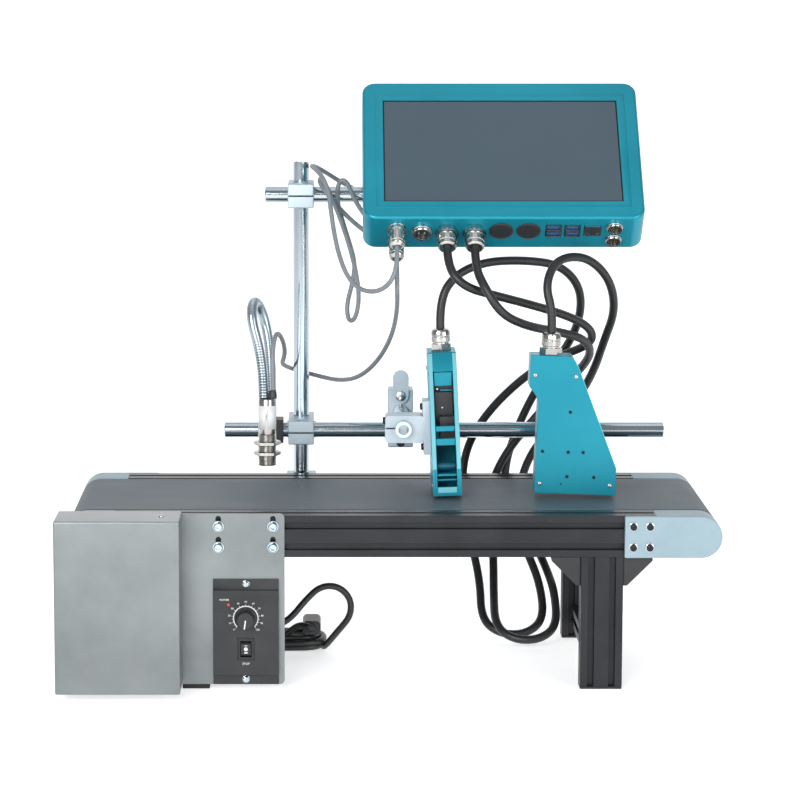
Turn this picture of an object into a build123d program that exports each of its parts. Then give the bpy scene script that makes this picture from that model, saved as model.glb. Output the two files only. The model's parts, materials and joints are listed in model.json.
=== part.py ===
from build123d import *
import math
import os

# Date code inkjet printer on a small belt conveyor, in millimetres.
# X runs along the conveyor, Y goes from the operator's side to the back, Z is up.
# Everything is laid out from the front rail's outer face (Y = 0) and the floor
# (Z = 0), and is moved by origin_back when it is written, so that the origin is the
# middle of the footprint.

# ---- conveyor frame ----
tail_end_x = 314.0
drive_end_x = -308.0
rail_depth = 30.0
rail_height = 40.0
rail_top = 168.0
belt_width = 170.0
belt_gap = 5.0
belt_thickness = 1.5
roller_play = 0.3
shaft_radius = 6.0
running_clearance = 0.05
bed_thickness = 2.0
end_body_length = 63.0
drive_body_length = 47.0
tongue_length = 29.4
tongue_thickness = 5.0

rail_bottom = rail_top - rail_height
frame_width = 2 * (rail_depth + belt_gap) + belt_width
end_radius = rail_height / 2
axle_z = rail_top - end_radius
tail_axle_x = tail_end_x - end_radius
drive_axle_x = drive_end_x + end_radius
rail_right = tail_end_x - end_body_length
rail_left = drive_end_x + drive_body_length
roller_radius = end_radius - belt_thickness - roller_play
inner_back = frame_width - rail_depth
leg_x = rail_right - 50.0

# ---- T-slot section, 20 mm series ----
slot_pitch = 20.0
slot_half_neck = 3.1
slot_lip = 1.8
slot_half_wide = 5.5
slot_shoulder = 2.6
slot_half_floor = 2.6
slot_depth = 5.5
core_bore_radius = 2.15

# ---- legs and base ----
leg_width = 40.0
leg_depth = 20.0
foot_thickness = 2.5
round_foot_xs = (-207.0, -298.0)
round_foot_radius = 8.0
square_foot = 26.0
bracket_size = 28.0
bracket_lip = 4.0
bracket_width = 16.0
left_leg_x = -184.5
base_bar_size = 20.0
crossbar_lift = 12.0

# ---- drive side plate, cover and motor ----
plate_thickness = 2.0
plate_left = -312.0
plate_right = -100.0
plate_bottom = 5.4
plate_top = 170.5
plate_corner = 4.5
plate_flange = 30.0
plate_bolt_x = (-162.6, -110.9)
plate_bolt_z = (158.0, 138.0)
cover_left = -314.0
cover_right = -197.0
cover_bottom = 8.0
cover_top = 172.5
cover_depth = 56.0
cover_sheet = 1.2
cover_edge = 1.6
motor_x = -245.0
motor_z = 62.0
gearbox_size = 80.0
gearbox_depth = 42.0
motor_radius = 39.0
motor_length = 92.0
roller_pulley_radius = 16.0
motor_pulley_radius = 13.0
pulley_front = -30.0
pulley_width = 14.0
timing_belt_thickness = 1.6
drive_play = 0.3

# ---- speed panel ----
panel_x = -136.7
panel_width = 62.2
panel_bottom = 6.0
panel_top = 107.5
panel_flange = 3.0
panel_raise = 4.0
panel_raise_margin = 9.8
panel_body_margin = 5.0
panel_body_depth = 42.0
knob_z = 71.0
knob_radius = 11.0
knob_height = 13.0
knob_shaft_radius = 3.0
rocker_z = 41.0
rocker_width = 9.6
rocker_radius = 7.2
rocker_proud = 2.0
face_play = 0.3

# ---- stand ----
rod_radius = 8.0
post_block = 30.0
post_x = -86.0
post_y = frame_width + post_block / 2
post_top = 486.0
bar_y = post_y - 22.0
head_bar_z = 214.0
head_bar_ends = (-164.0, 283.0)
display_bar_z = 454.0
display_bar_ends = (-122.0, 150.0)
clamp_width = 26.0
clamp_height = 24.0
clamp_front = bar_y - 22.0
clamp_back = post_y + 23.0
split_gap = 1.4

# ---- print heads ----
head_thickness = 28.0
head_wall = 3.5
head_cover = 2.5
head_top = 135.0
head_foot = 79.0
head_knee = 26.0
head_bottom_z = 171.3
belt_to_head_tilt = 2.0
head_left_x = 43.7
head_left_front = bar_y - 149.0
head_right_x = 142.0
head_right_front = bar_y - 143.0
arm_z = 234.0
arm_bore_radius = 5.0
arm_left_x = 15.0
arm_right_x = 182.0
casting_lead = 28.0
casting_depth = 26.0
saddle_width = 25.4
saddle_front = bar_y - 14.0
saddle_back = bar_y + 14.0
arm_back = saddle_back + 5.0
saddle_bottom = 198.0
saddle_top = 257.0
lever_z = 251.5
lever_width = 16.0
lever_reach = 18.0
lever_thickness = 5.0
lever_pin_radius = 3.0
gland_u = 11.0

# ---- display controller ----
display_width = 275.0
display_height = 176.0
display_depth = 46.0
display_corner = 13.0
display_edge = 3.0
display_wall = 3.0
display_left = -24.2
display_front = bar_y - 107.0
display_low = 439.5
display_lean = 44.0
screen_side = 20.4
screen_low = 21.0
screen_high = 24.0
screen_sink = 1.0
screen_thickness = 3.0

# ---- sensor ----
sensor_x = -118.0
sensor_y = 100.0
sensor_bottom = 200.0
sensor_top = 266.0
sensor_radius = 9.0
sensor_nut_z = (212.0, 222.0)
gooseneck_radius = 5.3
gooseneck_x = -116.0

# ---- cords ----
umbilical_radius = 4.25
lead_radius = 2.25
mains_radius = 3.25
relief_radius = 5.5
relief_length = 8.0
mains_exit = (-125.0, 50.0)
hank_x = (-170.0, -60.0)
hank_y = (138.0, 194.0)
hank_height = 20.0
plug_width = 18.0
plug_length = 34.0
plug_height = 14.0
plug_left = -84.0
plug_front = 146.0
plug_edge = 4.5
blade_length = 16.0
blade_width = 6.2
blade_thickness = 1.5
blade_pitch = 12.7

# The origin is the middle of the depth from the cover's face to the display's top edge.
lean_angle = math.radians(display_lean)
display_back = (display_front + display_height * math.sin(lean_angle)
                + display_depth * math.cos(lean_angle))
origin_back = (display_back - cover_depth) / 2

parts = {}


def block(x, y, z):
    """A box between the two limits given for each axis."""
    size = (x[1] - x[0], y[1] - y[0], z[1] - z[0])
    return Pos((x[0] + x[1]) / 2, (y[0] + y[1]) / 2, (z[0] + z[1]) / 2) * Box(*size)


def rod_x(radius, ends, y, z):
    return Pos((ends[0] + ends[1]) / 2, y, z) * Rot(0, 90, 0) * Cylinder(radius, ends[1] - ends[0])


def rod_y(radius, ends, x, z):
    return Pos(x, (ends[0] + ends[1]) / 2, z) * Rot(90, 0, 0) * Cylinder(radius, ends[1] - ends[0])


def rod_z(radius, ends, x, y):
    return Pos(x, y, (ends[0] + ends[1]) / 2) * Cylinder(radius, ends[1] - ends[0])


def hex_z(across_flats, ends, x, y):
    section = RegularPolygon(across_flats / 2, 6, major_radius=False)
    return Pos(x, y, ends[0]) * extrude(section, ends[1] - ends[0])


def plate_xz(outline, front, thickness):
    """An outline of (x, z) points, made into a plate from front towards the back."""
    face = make_face(Polyline([(x, front, z) for x, z in outline], close=True))
    return extrude(face, thickness, dir=(0, 1, 0))


def t_slot_section(wide, tall):
    """A section with a slot in the middle of each 20 mm of its faces."""

    def cutter():
        points = [(-slot_half_neck, 0.1), (-slot_half_neck, -slot_lip),
                  (-slot_half_wide, -slot_lip), (-slot_half_wide, -slot_shoulder),
                  (-slot_half_floor, -slot_depth), (slot_half_floor, -slot_depth),
                  (slot_half_wide, -slot_shoulder), (slot_half_wide, -slot_lip),
                  (slot_half_neck, -slot_lip), (slot_half_neck, 0.1)]
        return make_face(Polyline([(x, y, 0) for x, y in points], close=True))

    def places(length):
        return (0.0,) if length < 2 * slot_pitch else (-slot_pitch / 2, slot_pitch / 2)

    section = Rectangle(wide, tall)
    for x in places(wide):
        section -= Pos(x, tall / 2) * cutter()
        section -= Pos(x, -tall / 2) * Rot(0, 0, 180) * cutter()
    for y in places(tall):
        section -= Pos(wide / 2, y) * Rot(0, 0, -90) * cutter()
        section -= Pos(-wide / 2, y) * Rot(0, 0, 90) * cutter()
    for x in places(wide):
        for y in places(tall):
            section -= Pos(x, y) * Circle(core_bore_radius)
    return section


def t_slot_x(y, z, ends, wide, tall):
    along = Plane((ends[0], y, z), x_dir=(0, 1, 0), z_dir=(1, 0, 0))
    return extrude(along * t_slot_section(wide, tall), ends[1] - ends[0])


def t_slot_y(x, z, ends, wide, tall):
    along = Plane((x, ends[0], z), x_dir=(1, 0, 0), z_dir=(0, 1, 0))
    return extrude(along * t_slot_section(wide, tall), ends[1] - ends[0])


def t_slot_z(x, y, ends, wide, tall):
    return Pos(x, y, ends[0]) * extrude(t_slot_section(wide, tall), ends[1] - ends[0])


# ---- conveyor frame ----

def rails():
    middle_z = rail_top - rail_height / 2
    ends = (rail_left, rail_right)
    parts["rail_front"] = t_slot_x(rail_depth / 2, middle_z, ends, rail_depth, rail_height)
    parts["rail_rear"] = t_slot_x(frame_width - rail_depth / 2, middle_z, ends, rail_depth, rail_height)


def belt_and_bed():
    length = tail_axle_x - drive_axle_x
    middle = (tail_axle_x + drive_axle_x) / 2
    outer = SlotCenterToCenter(length, 2 * end_radius)
    inner = SlotCenterToCenter(length, 2 * (end_radius - belt_thickness))
    plane = Plane((middle, rail_depth + belt_gap, axle_z), x_dir=(1, 0, 0), z_dir=(0, 1, 0))
    parts["conveyor_belt"] = extrude(plane * (outer - inner), belt_width)
    top = rail_top - belt_thickness - roller_play
    parts["slider_bed"] = block(
        (rail_left, rail_right), (rail_depth, inner_back), (top - bed_thickness, top))


def end_block(tail, front):
    """A block at one corner, with a bore for the axle and a tongue over the rail."""
    side = 1 if tail else -1
    axle_x = tail_axle_x if tail else drive_axle_x
    rail_end = rail_right if tail else rail_left
    tongue_end = rail_end - side * tongue_length
    has_tongue = tail or not front
    outer = tongue_thickness if has_tongue else 0.0
    y = (-outer, rail_depth) if front else (inner_back, frame_width + outer)
    xs = sorted((rail_end, axle_x))
    body = block(xs, y, (rail_bottom, rail_top)) + rod_y(end_radius, y, axle_x, axle_z)
    if has_tongue:
        xs = sorted((tongue_end, rail_end))
        y_tongue = (-outer, 0) if front else (frame_width, frame_width + outer)
        body += block(xs, y_tongue, (rail_bottom, rail_top))
    through = front and not tail
    blind = 7.0
    if front:
        y_bore = (-1.0 if through else y[0] + blind, rail_depth + 1)
    else:
        y_bore = (inner_back - 1, y[1] - blind)
    return body - rod_y(shaft_radius + running_clearance, y_bore, axle_x, axle_z)


def end_blocks():
    parts["roller_end_blocks"] = Compound(
        [end_block(tail, front) for tail in (True, False) for front in (True, False)])


def screw_y(x, z, seat, radius, height, toward):
    """A button screw's head that stands on the plane y = seat."""
    ends = sorted((seat, seat + toward * height))
    return rod_y(radius, ends, x, z)


def frame_screws():
    screws = []
    head = 4.2
    for z in (rail_top - slot_pitch / 2, rail_bottom + slot_pitch / 2):
        for x in (rail_right - 21.3, rail_right - 5.7):
            screws.append(screw_y(x, z, -tongue_thickness, head, 2.4, -1))
            screws.append(screw_y(x, z, frame_width + tongue_thickness, head, 2.4, 1))
        for x in (rail_left + 21.3, rail_left + 5.7):
            screws.append(screw_y(x, z, frame_width + tongue_thickness, head, 2.4, 1))
    for z in (panel_bottom + 5.0, panel_top - 4.6):
        screws.append(screw_y(panel_x, z, -plate_thickness - panel_flange, 3.6, 2.0, -1))
    for x in plate_bolt_x:
        for z in plate_bolt_z:
            washer = screw_y(x, z, -plate_thickness, 5.6, 1.2, -1)
            screws.append(washer + screw_y(x, z, -plate_thickness - 1.2, 4.4, 5.0, -1))
    parts["frame_screws"] = Compound(screws)


def rollers():
    barrel = (rail_depth + 1.0, inner_back - 1.0)
    rear_tip = frame_width - 4.0
    drive = rod_y(roller_radius, barrel, drive_axle_x, axle_z)
    drive += rod_y(shaft_radius, (pulley_front - 4.0, rear_tip), drive_axle_x, axle_z)
    parts["drive_roller"] = drive
    tail = rod_y(roller_radius, barrel, tail_axle_x, axle_z)
    parts["tail_roller"] = tail + rod_y(shaft_radius, (4.0, rear_tip), tail_axle_x, axle_z)


# ---- legs and base ----

def legs():
    high = (foot_thickness, rail_bottom)
    front_y = leg_depth / 2
    rear_y = frame_width - leg_depth / 2
    left_high = (plate_bottom + plate_thickness + base_bar_size, rail_bottom)
    parts["leg_profiles"] = Compound([
        t_slot_z(leg_x, front_y, high, leg_width, leg_depth),
        t_slot_z(leg_x, rear_y, high, leg_width, leg_depth),
        t_slot_z(left_leg_x, rear_y, left_high, leg_width, leg_depth)])
    low = plate_bottom + plate_thickness + base_bar_size / 2
    right_low = foot_thickness + crossbar_lift + base_bar_size / 2
    parts["base_bars"] = Compound([
        t_slot_y(left_leg_x, low, (0.0, frame_width), base_bar_size, base_bar_size),
        t_slot_y(leg_x, right_low, (leg_depth, frame_width - leg_depth), base_bar_size, base_bar_size)])


def corner_bracket(x, y, side):
    """A stepped triangle between a leg's side and the rail's underside."""
    size, lip = bracket_size * side, bracket_lip
    outline = [(x, rail_bottom), (x + size, rail_bottom), (x + size, rail_bottom - lip),
               (x + side * lip, rail_bottom - bracket_size), (x, rail_bottom - bracket_size)]
    return plate_xz(outline, y - bracket_width / 2, bracket_width)


def leg_brackets():
    front_y, rear_y = leg_depth / 2, frame_width - leg_depth / 2
    places = [(leg_x, front_y), (leg_x, rear_y), (left_leg_x, rear_y)]
    parts["leg_brackets"] = Compound(
        [corner_bracket(x + side * leg_width / 2, y, side) for x, y in places for side in (-1, 1)])


def rubber_feet():
    feet = []
    for y in ((0.0, leg_depth), (frame_width - leg_depth, frame_width)):
        feet.append(block((leg_x - leg_width / 2, leg_x + leg_width / 2), y, (0, foot_thickness)))
    bar_low = plate_bottom + plate_thickness
    half = base_bar_size / 2
    feet.append(block((left_leg_x - half, left_leg_x + half),
                      (frame_width - 2 * base_bar_size, frame_width), (0, bar_low)))
    for x in round_foot_xs:
        feet.append(rod_z(round_foot_radius, (0, plate_bottom), x, plate_flange / 2))
    pad = square_foot / 2
    feet.append(block((left_leg_x - pad, left_leg_x + pad),
                      (plate_flange / 2 - pad, plate_flange / 2 + pad), (0, plate_bottom)))
    parts["rubber_feet"] = Compound(feet)


# ---- drive side ----

def side_plate():
    width, height = plate_right - plate_left, plate_top - plate_bottom
    middle = Plane(((plate_left + plate_right) / 2, -plate_thickness, (plate_bottom + plate_top) / 2),
                   x_dir=(1, 0, 0), z_dir=(0, 1, 0))
    sheet = extrude(middle * RectangleRounded(width, height, plate_corner), plate_thickness)
    flange = block((plate_left + plate_corner, plate_right - plate_corner), (-plate_thickness, plate_flange),
                   (plate_bottom, plate_bottom + plate_thickness))
    plate = sheet + flange
    plate -= rod_y(shaft_radius + 2.0, (-5, 1), drive_axle_x, axle_z)
    plate -= rod_y(shaft_radius + 6.0, (-5, 1), motor_x, motor_z)
    half = panel_width / 2 - panel_body_margin + face_play
    plate -= block((panel_x - half, panel_x + half), (-5, 1),
                   (panel_bottom + panel_raise_margin - face_play, panel_top - panel_raise_margin + face_play))
    parts["side_plate"] = plate


def drive_cover():
    outer = block((cover_left, cover_right), (-cover_depth, 0), (cover_bottom, cover_top))
    outer = fillet(outer.edges().filter_by(Axis.Y), cover_edge)
    outer = fillet(outer.faces().sort_by(Axis.Y)[0].edges(), cover_edge * 0.9)
    inner = block((cover_left + cover_sheet, cover_right - cover_sheet),
                  (-cover_depth + cover_sheet, 1), (cover_bottom + cover_sheet, cover_top - cover_sheet))
    plate = block((plate_left, plate_right), (-plate_thickness, 1), (plate_bottom, plate_top))
    parts["drive_cover"] = outer - inner - plate


def gear_motor():
    half = gearbox_size / 2
    box = block((motor_x - half, motor_x + half), (0, gearbox_depth), (motor_z - half, motor_z + half))
    box = fillet(box.edges().filter_by(Axis.Y), 6.0)
    bore = rod_y(shaft_radius + running_clearance, (-1, 30), motor_x, motor_z)
    barrel = rod_y(motor_radius, (gearbox_depth, gearbox_depth + motor_length), motor_x, motor_z)
    parts["gear_motor"] = Compound([box - bore, barrel])


def pulley_faces(offset):
    """The pulleys' two circles, grown by offset, and the band that spans them."""
    ra, rb = roller_pulley_radius + offset, motor_pulley_radius + offset
    ax, az, bx, bz = drive_axle_x, axle_z, motor_x, motor_z
    span = math.hypot(bx - ax, bz - az)
    heading = math.atan2(bz - az, bx - ax)
    swing = math.acos((ra - rb) / span)
    points = []
    for angle, order in ((heading + swing, 1), (heading - swing, -1)):
        pair = [(ax + ra * math.cos(angle), az + ra * math.sin(angle)),
                (bx + rb * math.cos(angle), bz + rb * math.sin(angle))]
        points += pair[::order]
    return ra, rb, points


def timing_loop(offset, y):
    ra, rb, points = pulley_faces(offset)
    solid = rod_y(ra, y, drive_axle_x, axle_z) + rod_y(rb, y, motor_x, motor_z)
    return solid + plate_xz(points, y[0], y[1] - y[0])


def drive_train():
    y = (pulley_front, pulley_front + pulley_width)
    parts["roller_pulley"] = (rod_y(roller_pulley_radius, y, drive_axle_x, axle_z)
                              - rod_y(shaft_radius, (y[0] - 1, y[1] + 1), drive_axle_x, axle_z))
    parts["motor_pulley"] = (rod_y(motor_pulley_radius, y, motor_x, motor_z)
                             + rod_y(shaft_radius, (y[0] - 3, 28), motor_x, motor_z))
    inset = (y[0] + 1.5, y[1] - 1.5)
    parts["timing_belt"] = timing_loop(drive_play + timing_belt_thickness, inset) - timing_loop(
        drive_play, (inset[0] - 1, inset[1] + 1))


# ---- speed panel ----

def speed_panel():
    half = panel_width / 2
    face = -plate_thickness - panel_flange
    front = face - panel_raise
    body = block((panel_x - half, panel_x + half), (face, -plate_thickness), (panel_bottom, panel_top))
    body += block((panel_x - half, panel_x + half), (front, face),
                  (panel_bottom + panel_raise_margin, panel_top - panel_raise_margin))
    inner = half - panel_body_margin
    body += block((panel_x - inner, panel_x + inner), (-plate_thickness, panel_body_depth),
                  (panel_bottom + panel_raise_margin, panel_top - panel_raise_margin))
    body += rod_y(relief_radius, (panel_body_depth, panel_body_depth + relief_length), *mains_exit)
    body -= rod_y(knob_shaft_radius + running_clearance, (front - 1, 8), panel_x, knob_z)
    pocket = rocker_radius + 0.6
    body -= block((panel_x - rocker_width / 2 - 0.4, panel_x + rocker_width / 2 + 0.4),
                  (front - 1, 8), (rocker_z - pocket, rocker_z + pocket))
    pin = rocker_width / 2 + 1.6
    body -= rod_x(1.2 + running_clearance, (panel_x - pin - 0.2, panel_x + pin + 0.2), front + 3.4, rocker_z)
    parts["speed_panel"] = body

    seat = front - face_play
    knob = rod_y(knob_radius, (seat - knob_height, seat), panel_x, knob_z)
    knob = chamfer(knob.faces().sort_by(Axis.Y)[0].edges(), 1.2)
    parts["speed_knob"] = knob + rod_y(knob_shaft_radius, (seat - 1, 6), panel_x, knob_z)

    drum = rod_x(rocker_radius, (panel_x - rocker_width / 2, panel_x + rocker_width / 2), front + 3.4, rocker_z)
    drum -= block((panel_x - 20, panel_x + 20), (front - 20, front - rocker_proud), (0, 100))
    drum -= block((panel_x - 20, panel_x + 20), (front + 7, front + 30), (0, 100))
    parts["rocker_switch"] = drum + rod_x(1.2, (panel_x - pin, panel_x + pin), front + 3.4, rocker_z)


# ---- stand ----

def cross_clamp(z):
    """A split block that joins the post to a bar, with its bolt from above."""
    half = clamp_width / 2
    body = block((post_x - half, post_x + half), (clamp_front, clamp_back),
                 (z - clamp_height / 2, z + clamp_height / 2))
    body = fillet(body.edges(), 1.2)
    body -= rod_z(rod_radius + running_clearance, (z - 30, z + 30), post_x, post_y)
    body -= rod_x(rod_radius, (post_x - 30, post_x + 30), bar_y, z)
    body -= block((post_x - 30, post_x + 30), (clamp_front - 1, bar_y), (z - split_gap / 2, z + split_gap / 2))
    body -= block((post_x - split_gap / 2, post_x + split_gap / 2), (post_y, clamp_back + 1), (z - 30, z + 30))
    body -= rod_z(4.6, (z + clamp_height / 2 - 5, z + 30), post_x, clamp_front + 7)
    return body


def stand():
    half = post_block / 2
    bottom = rail_bottom + 2
    post = rod_z(rod_radius, (bottom, post_top), post_x, post_y)
    parts["post"] = chamfer(post.edges(), 0.8)
    bracket = block((post_x - half, post_x + half), (frame_width, post_y + half), (bottom, rail_top - 2))
    bracket -= rod_z(rod_radius, (bottom - 5, rail_top + 5), post_x, post_y)
    bracket -= block((post_x - split_gap / 2, post_x + split_gap / 2), (post_y, post_y + half + 1), (0, 300))
    parts["post_bracket"] = bracket
    parts["lower_clamp"] = cross_clamp(head_bar_z)
    parts["upper_clamp"] = cross_clamp(display_bar_z)
    parts["head_bar"] = chamfer(rod_x(rod_radius, head_bar_ends, bar_y, head_bar_z).edges(), 0.8)
    parts["display_bar"] = chamfer(rod_x(rod_radius, display_bar_ends, bar_y, display_bar_z).edges(), 0.8)


# ---- print heads, in their own frame: x along the head, y through it, z up ----

head_outline = [(0, 0), (head_foot, 0), (head_foot, head_knee), (37.5, 125), (31.5, head_top),
                (-9, head_top), (-9, 104), (0.5, 91.5)]
bay_outline = [(70, 9), (86, 9), (86, 28), (49, 117), (34, 117), (34, 112), (70, 26)]
nozzle_slot = (44.0, 68.0)
plate_u = (25.0, 51.0)
plate_v = (36.7, 89.7)
plate_w = 7.0


def head_places():
    tilt = belt_to_head_tilt
    left = Pos(head_left_x, head_left_front + head_foot, head_bottom_z) * Rot(0, -tilt, 0) * Rot(0, 0, -90)
    lift = head_foot * math.sin(math.radians(tilt))
    right = Pos(head_right_x, head_right_front, head_bottom_z + lift) * Rot(0, tilt, 0)
    return left, right


def flat_face_xz(outline):
    return make_face(Polyline([(x, 0, z) for x, z in outline], close=True))


def prism(outline, y, shrink=0.0):
    face = flat_face_xz(outline)
    if shrink:
        face = offset(face, -shrink, kind=Kind.INTERSECTION)
    return Pos(0, y[0], 0) * extrude(face, y[1] - y[0], dir=(0, 1, 0))


def head_housing():
    shell = prism(head_outline, (head_cover, head_thickness))
    shell -= prism(head_outline, (head_cover - 1, head_thickness - 2.5), head_wall)
    shell -= prism(bay_outline, (head_cover + 2.0, head_thickness - 4.5))
    shell -= block(nozzle_slot, (7.5, 20.5), (-1, head_wall + 1))
    return shell


def contact_block():
    return block((30.0, 50.0), (9.0, head_thickness - 2.5), (44.0, 74.0))


def head_gland(u, base):
    y = head_thickness / 2
    solid = hex_z(20.0, (base, base + 6.5), u, y) + rod_z(8.2, (base, base + 13.0), u, y)
    dome = rod_z(9.4, (base + 8.5, base + 21.5), u, y)
    dome = fillet(dome.faces().sort_by(Axis.Z)[-1].edges(), 3.5)
    return solid + dome


def saddle(x):
    """The block that rides on the head bar and holds an arm across it."""
    half = saddle_width / 2
    body = block((x - half, x + half), (saddle_front, saddle_back), (saddle_bottom, saddle_top))
    body = fillet(body.edges(), 1.2)
    body -= rod_x(rod_radius + running_clearance, (x - 30, x + 30), bar_y, head_bar_z)
    body -= rod_y(rod_radius + running_clearance, (saddle_front - 5, saddle_back + 5), x, arm_z)
    body -= block((x - split_gap / 2, x + split_gap / 2), (saddle_front - 5, saddle_back + 5), (arm_z, 300))
    body -= block((x - 30, x + 30), (saddle_front - 5, bar_y),
                  (head_bar_z - split_gap / 2, head_bar_z + split_gap / 2))
    body -= rod_y(lever_pin_radius + running_clearance, (saddle_front - 5, saddle_front + 20), x, lever_z)
    return body


def lever(x):
    """A flat paddle on the clamp's screw, which stands upright at rest."""
    seat = saddle_front - face_play
    y = (seat - lever_thickness, seat)
    half = lever_width / 2
    paddle = block((x - half, x + half), y, (lever_z, lever_z + lever_reach))
    paddle += rod_y(half, y, x, lever_z + lever_reach)
    paddle += rod_y(half - 0.6, y, x, lever_z)
    return paddle + rod_y(lever_pin_radius, (seat - 1, saddle_front + 18), x, lever_z)


def arm(x, front):
    ends = (front, arm_back)
    return rod_y(rod_radius, ends, x, arm_z) - rod_y(arm_bore_radius, (front - 1, arm_back + 1), x, arm_z)


def left_head_clamp(place):
    """A split casting round the arm, with a plate screwed to the head's side."""
    front = head_left_front + casting_lead
    back = front + casting_depth
    body = block((arm_left_x - 17.6, arm_left_x + 20.5), (front, back), (arm_z - 14.5, arm_z + 12.5))
    body = fillet(body.edges().filter_by(Axis.Y), 4.0)
    body += place * block(plate_u, (-plate_w, 0), plate_v)
    body -= rod_y(rod_radius + running_clearance, (front - 12, back + 12), arm_left_x, arm_z)
    body -= block((arm_left_x - 30, arm_left_x), (front - 12, back + 12),
                  (arm_z - split_gap / 2, arm_z + split_gap / 2))
    return body


def right_head_clamp(place):
    """The same clamp turned a quarter, with its plate on the head's back."""
    rear = head_right_front + head_thickness
    body = place * block(plate_u, (head_thickness, head_thickness + plate_w), plate_v)
    body += rod_y(15.0, (rear, rear + 30), arm_right_x, arm_z)
    body -= rod_y(rod_radius + running_clearance, (rear + 3, rear + 40), arm_right_x, arm_z)
    body -= block((arm_right_x - split_gap / 2, arm_right_x + split_gap / 2),
                  (rear + plate_w + 1, rear + 40), (arm_z, arm_z + 40))
    return body


def print_heads():
    left, right = head_places()
    for number, place, arm_x in ((1, left, arm_left_x), (2, right, arm_right_x)):
        name = f"head_{number}_"
        parts[name + "housing"] = place * head_housing()
        parts[name + "side_cover"] = place * prism(head_outline, (0, head_cover))
        parts[name + "contact_block"] = place * contact_block()
        parts[name + "gland"] = place * head_gland(gland_u, head_top)
        parts[name + "saddle"] = saddle(arm_x)
        parts[name + "lever"] = lever(arm_x)
    parts["head_1_clamp"] = left_head_clamp(left)
    parts["head_2_clamp"] = right_head_clamp(right)
    parts["head_1_arm"] = arm(arm_left_x, head_left_front + casting_lead - 9.0)
    parts["head_2_arm"] = arm(arm_right_x, head_right_front + head_thickness + 4)


# ---- display controller, in its own frame: x across, y through, z up its face ----

plug_x = 32.7
pin_socket_x = 57.2
gland_xs = (81.7, 108.7)
cap_xs = (135.0, 161.8)
usb_xs = (186.1, 204.7)
usb_size = (15.4, 18.0)
network_x = 224.5
network_size = (17.0, 15.0)
round_x = 245.7
socket_row = 20.0
socket_length = 14.0


def display_place():
    return Pos(display_left, display_front, display_low) * Rot(-display_lean, 0, 0)


def rounded_slab(x, y, z, corner):
    plane = Plane(((x[0] + x[1]) / 2, y[0], (z[0] + z[1]) / 2), x_dir=(1, 0, 0), z_dir=(0, 1, 0))
    return extrude(plane * RectangleRounded(x[1] - x[0], z[1] - z[0], corner), y[1] - y[0])


def display_case():
    x, z = (0, display_width), (0, display_height)
    wall = display_wall
    shell = rounded_slab(x, (0, display_depth), z, display_corner)
    shell = fillet(shell.faces().sort_by(Axis.Y)[0].edges(), display_edge)
    shell -= rounded_slab((wall, x[1] - wall), (wall + screen_sink + screen_thickness, display_depth + 1),
                          (wall, z[1] - wall), display_corner - wall)
    shell -= block((screen_side, x[1] - screen_side), (-1, display_depth - wall - 1),
                   (screen_low, z[1] - screen_high))
    for centre, size in [(u, usb_size) for u in usb_xs] + [(network_x, network_size)]:
        shell -= block((centre - size[0] / 2, centre + size[0] / 2),
                       (socket_row - size[1] / 2, socket_row + size[1] / 2), (-1, wall + 1))
    return shell


def socket_body(centre, size):
    """A socket's block behind the underside."""
    half, deep = size[0] / 2, size[1] / 2
    return block((centre - half, centre + half), (socket_row - deep, socket_row + deep), (-0.6, socket_length))


def network_socket():
    body = socket_body(network_x, network_size)
    return body - block((network_x - 6.0, network_x + 6.0), (socket_row - 4.0, socket_row + 4.0), (-2, 11.0))


def connectors():
    """The metal connectors that stand down from the display's underside."""
    solids = []
    for y in (16.0, 35.0):
        solids.append(rod_z(9.0, (-5, 0), plug_x, y) + rod_z(7.6, (-24, 0), plug_x, y))
    ring = rod_z(10.0, (-5.5, 0), pin_socket_x, socket_row) - rod_z(6.5, (-6, -1.5), pin_socket_x, socket_row)
    solids.append(ring)
    for x in gland_xs:
        body = hex_z(21.0, (-7, 0), x, socket_row) + rod_z(8.6, (-14, 0), x, socket_row)
        solids.append(body + rod_z(9.8, (-22, -9), x, socket_row))
    for y in (14.0, 33.0):
        solids.append(rod_z(8.0, (-4.5, 0), round_x, y) - rod_z(5.6, (-5, -1.2), round_x, y))
    return Compound(solids)


def display():
    place = display_place()
    wall = display_wall
    parts["display_housing"] = place * display_case()
    inset = 0.2
    rear = rounded_slab((wall + inset, display_width - wall - inset), (display_depth - wall, display_depth),
                        (wall + inset, display_height - wall - inset), display_corner - wall - inset)
    parts["display_rear_cover"] = place * rear
    parts["display_screen"] = place * block(
        (screen_side, display_width - screen_side), (screen_sink, screen_sink + screen_thickness),
        (screen_low, display_height - screen_high))
    parts["display_connectors"] = place * connectors()
    caps = [rod_z(12.0, (-1.6, 0), x, socket_row) for x in cap_xs]
    usb = [socket_body(x, usb_size) for x in usb_xs]
    parts["display_sockets"] = place * Compound(caps + usb + [network_socket()])

    # The tilt clamp is built round the bar, so that it turns on it.
    back, up = bar_y - display_front, display_bar_z - display_low
    bar_u = back * math.sin(lean_angle) + up * math.cos(lean_angle)
    bar_w = back * math.cos(lean_angle) - up * math.sin(lean_angle)
    middle = display_width / 2
    body = block((middle - 20, middle + 20), (display_depth, bar_w + 13), (bar_u - 13, bar_u + 13))
    body = fillet(body.edges().filter_by(Axis.X).sort_by(Axis.Y)[-2:], 5.0)
    body -= rod_x(rod_radius + running_clearance, (middle - 30, middle + 30), bar_w, bar_u)
    body -= block((middle - 30, middle + 30), (bar_w, bar_w + 20), (bar_u - split_gap / 2, bar_u + split_gap / 2))
    parts["display_tilt_clamp"] = place * body


# ---- sensor on a gooseneck ----

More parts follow.
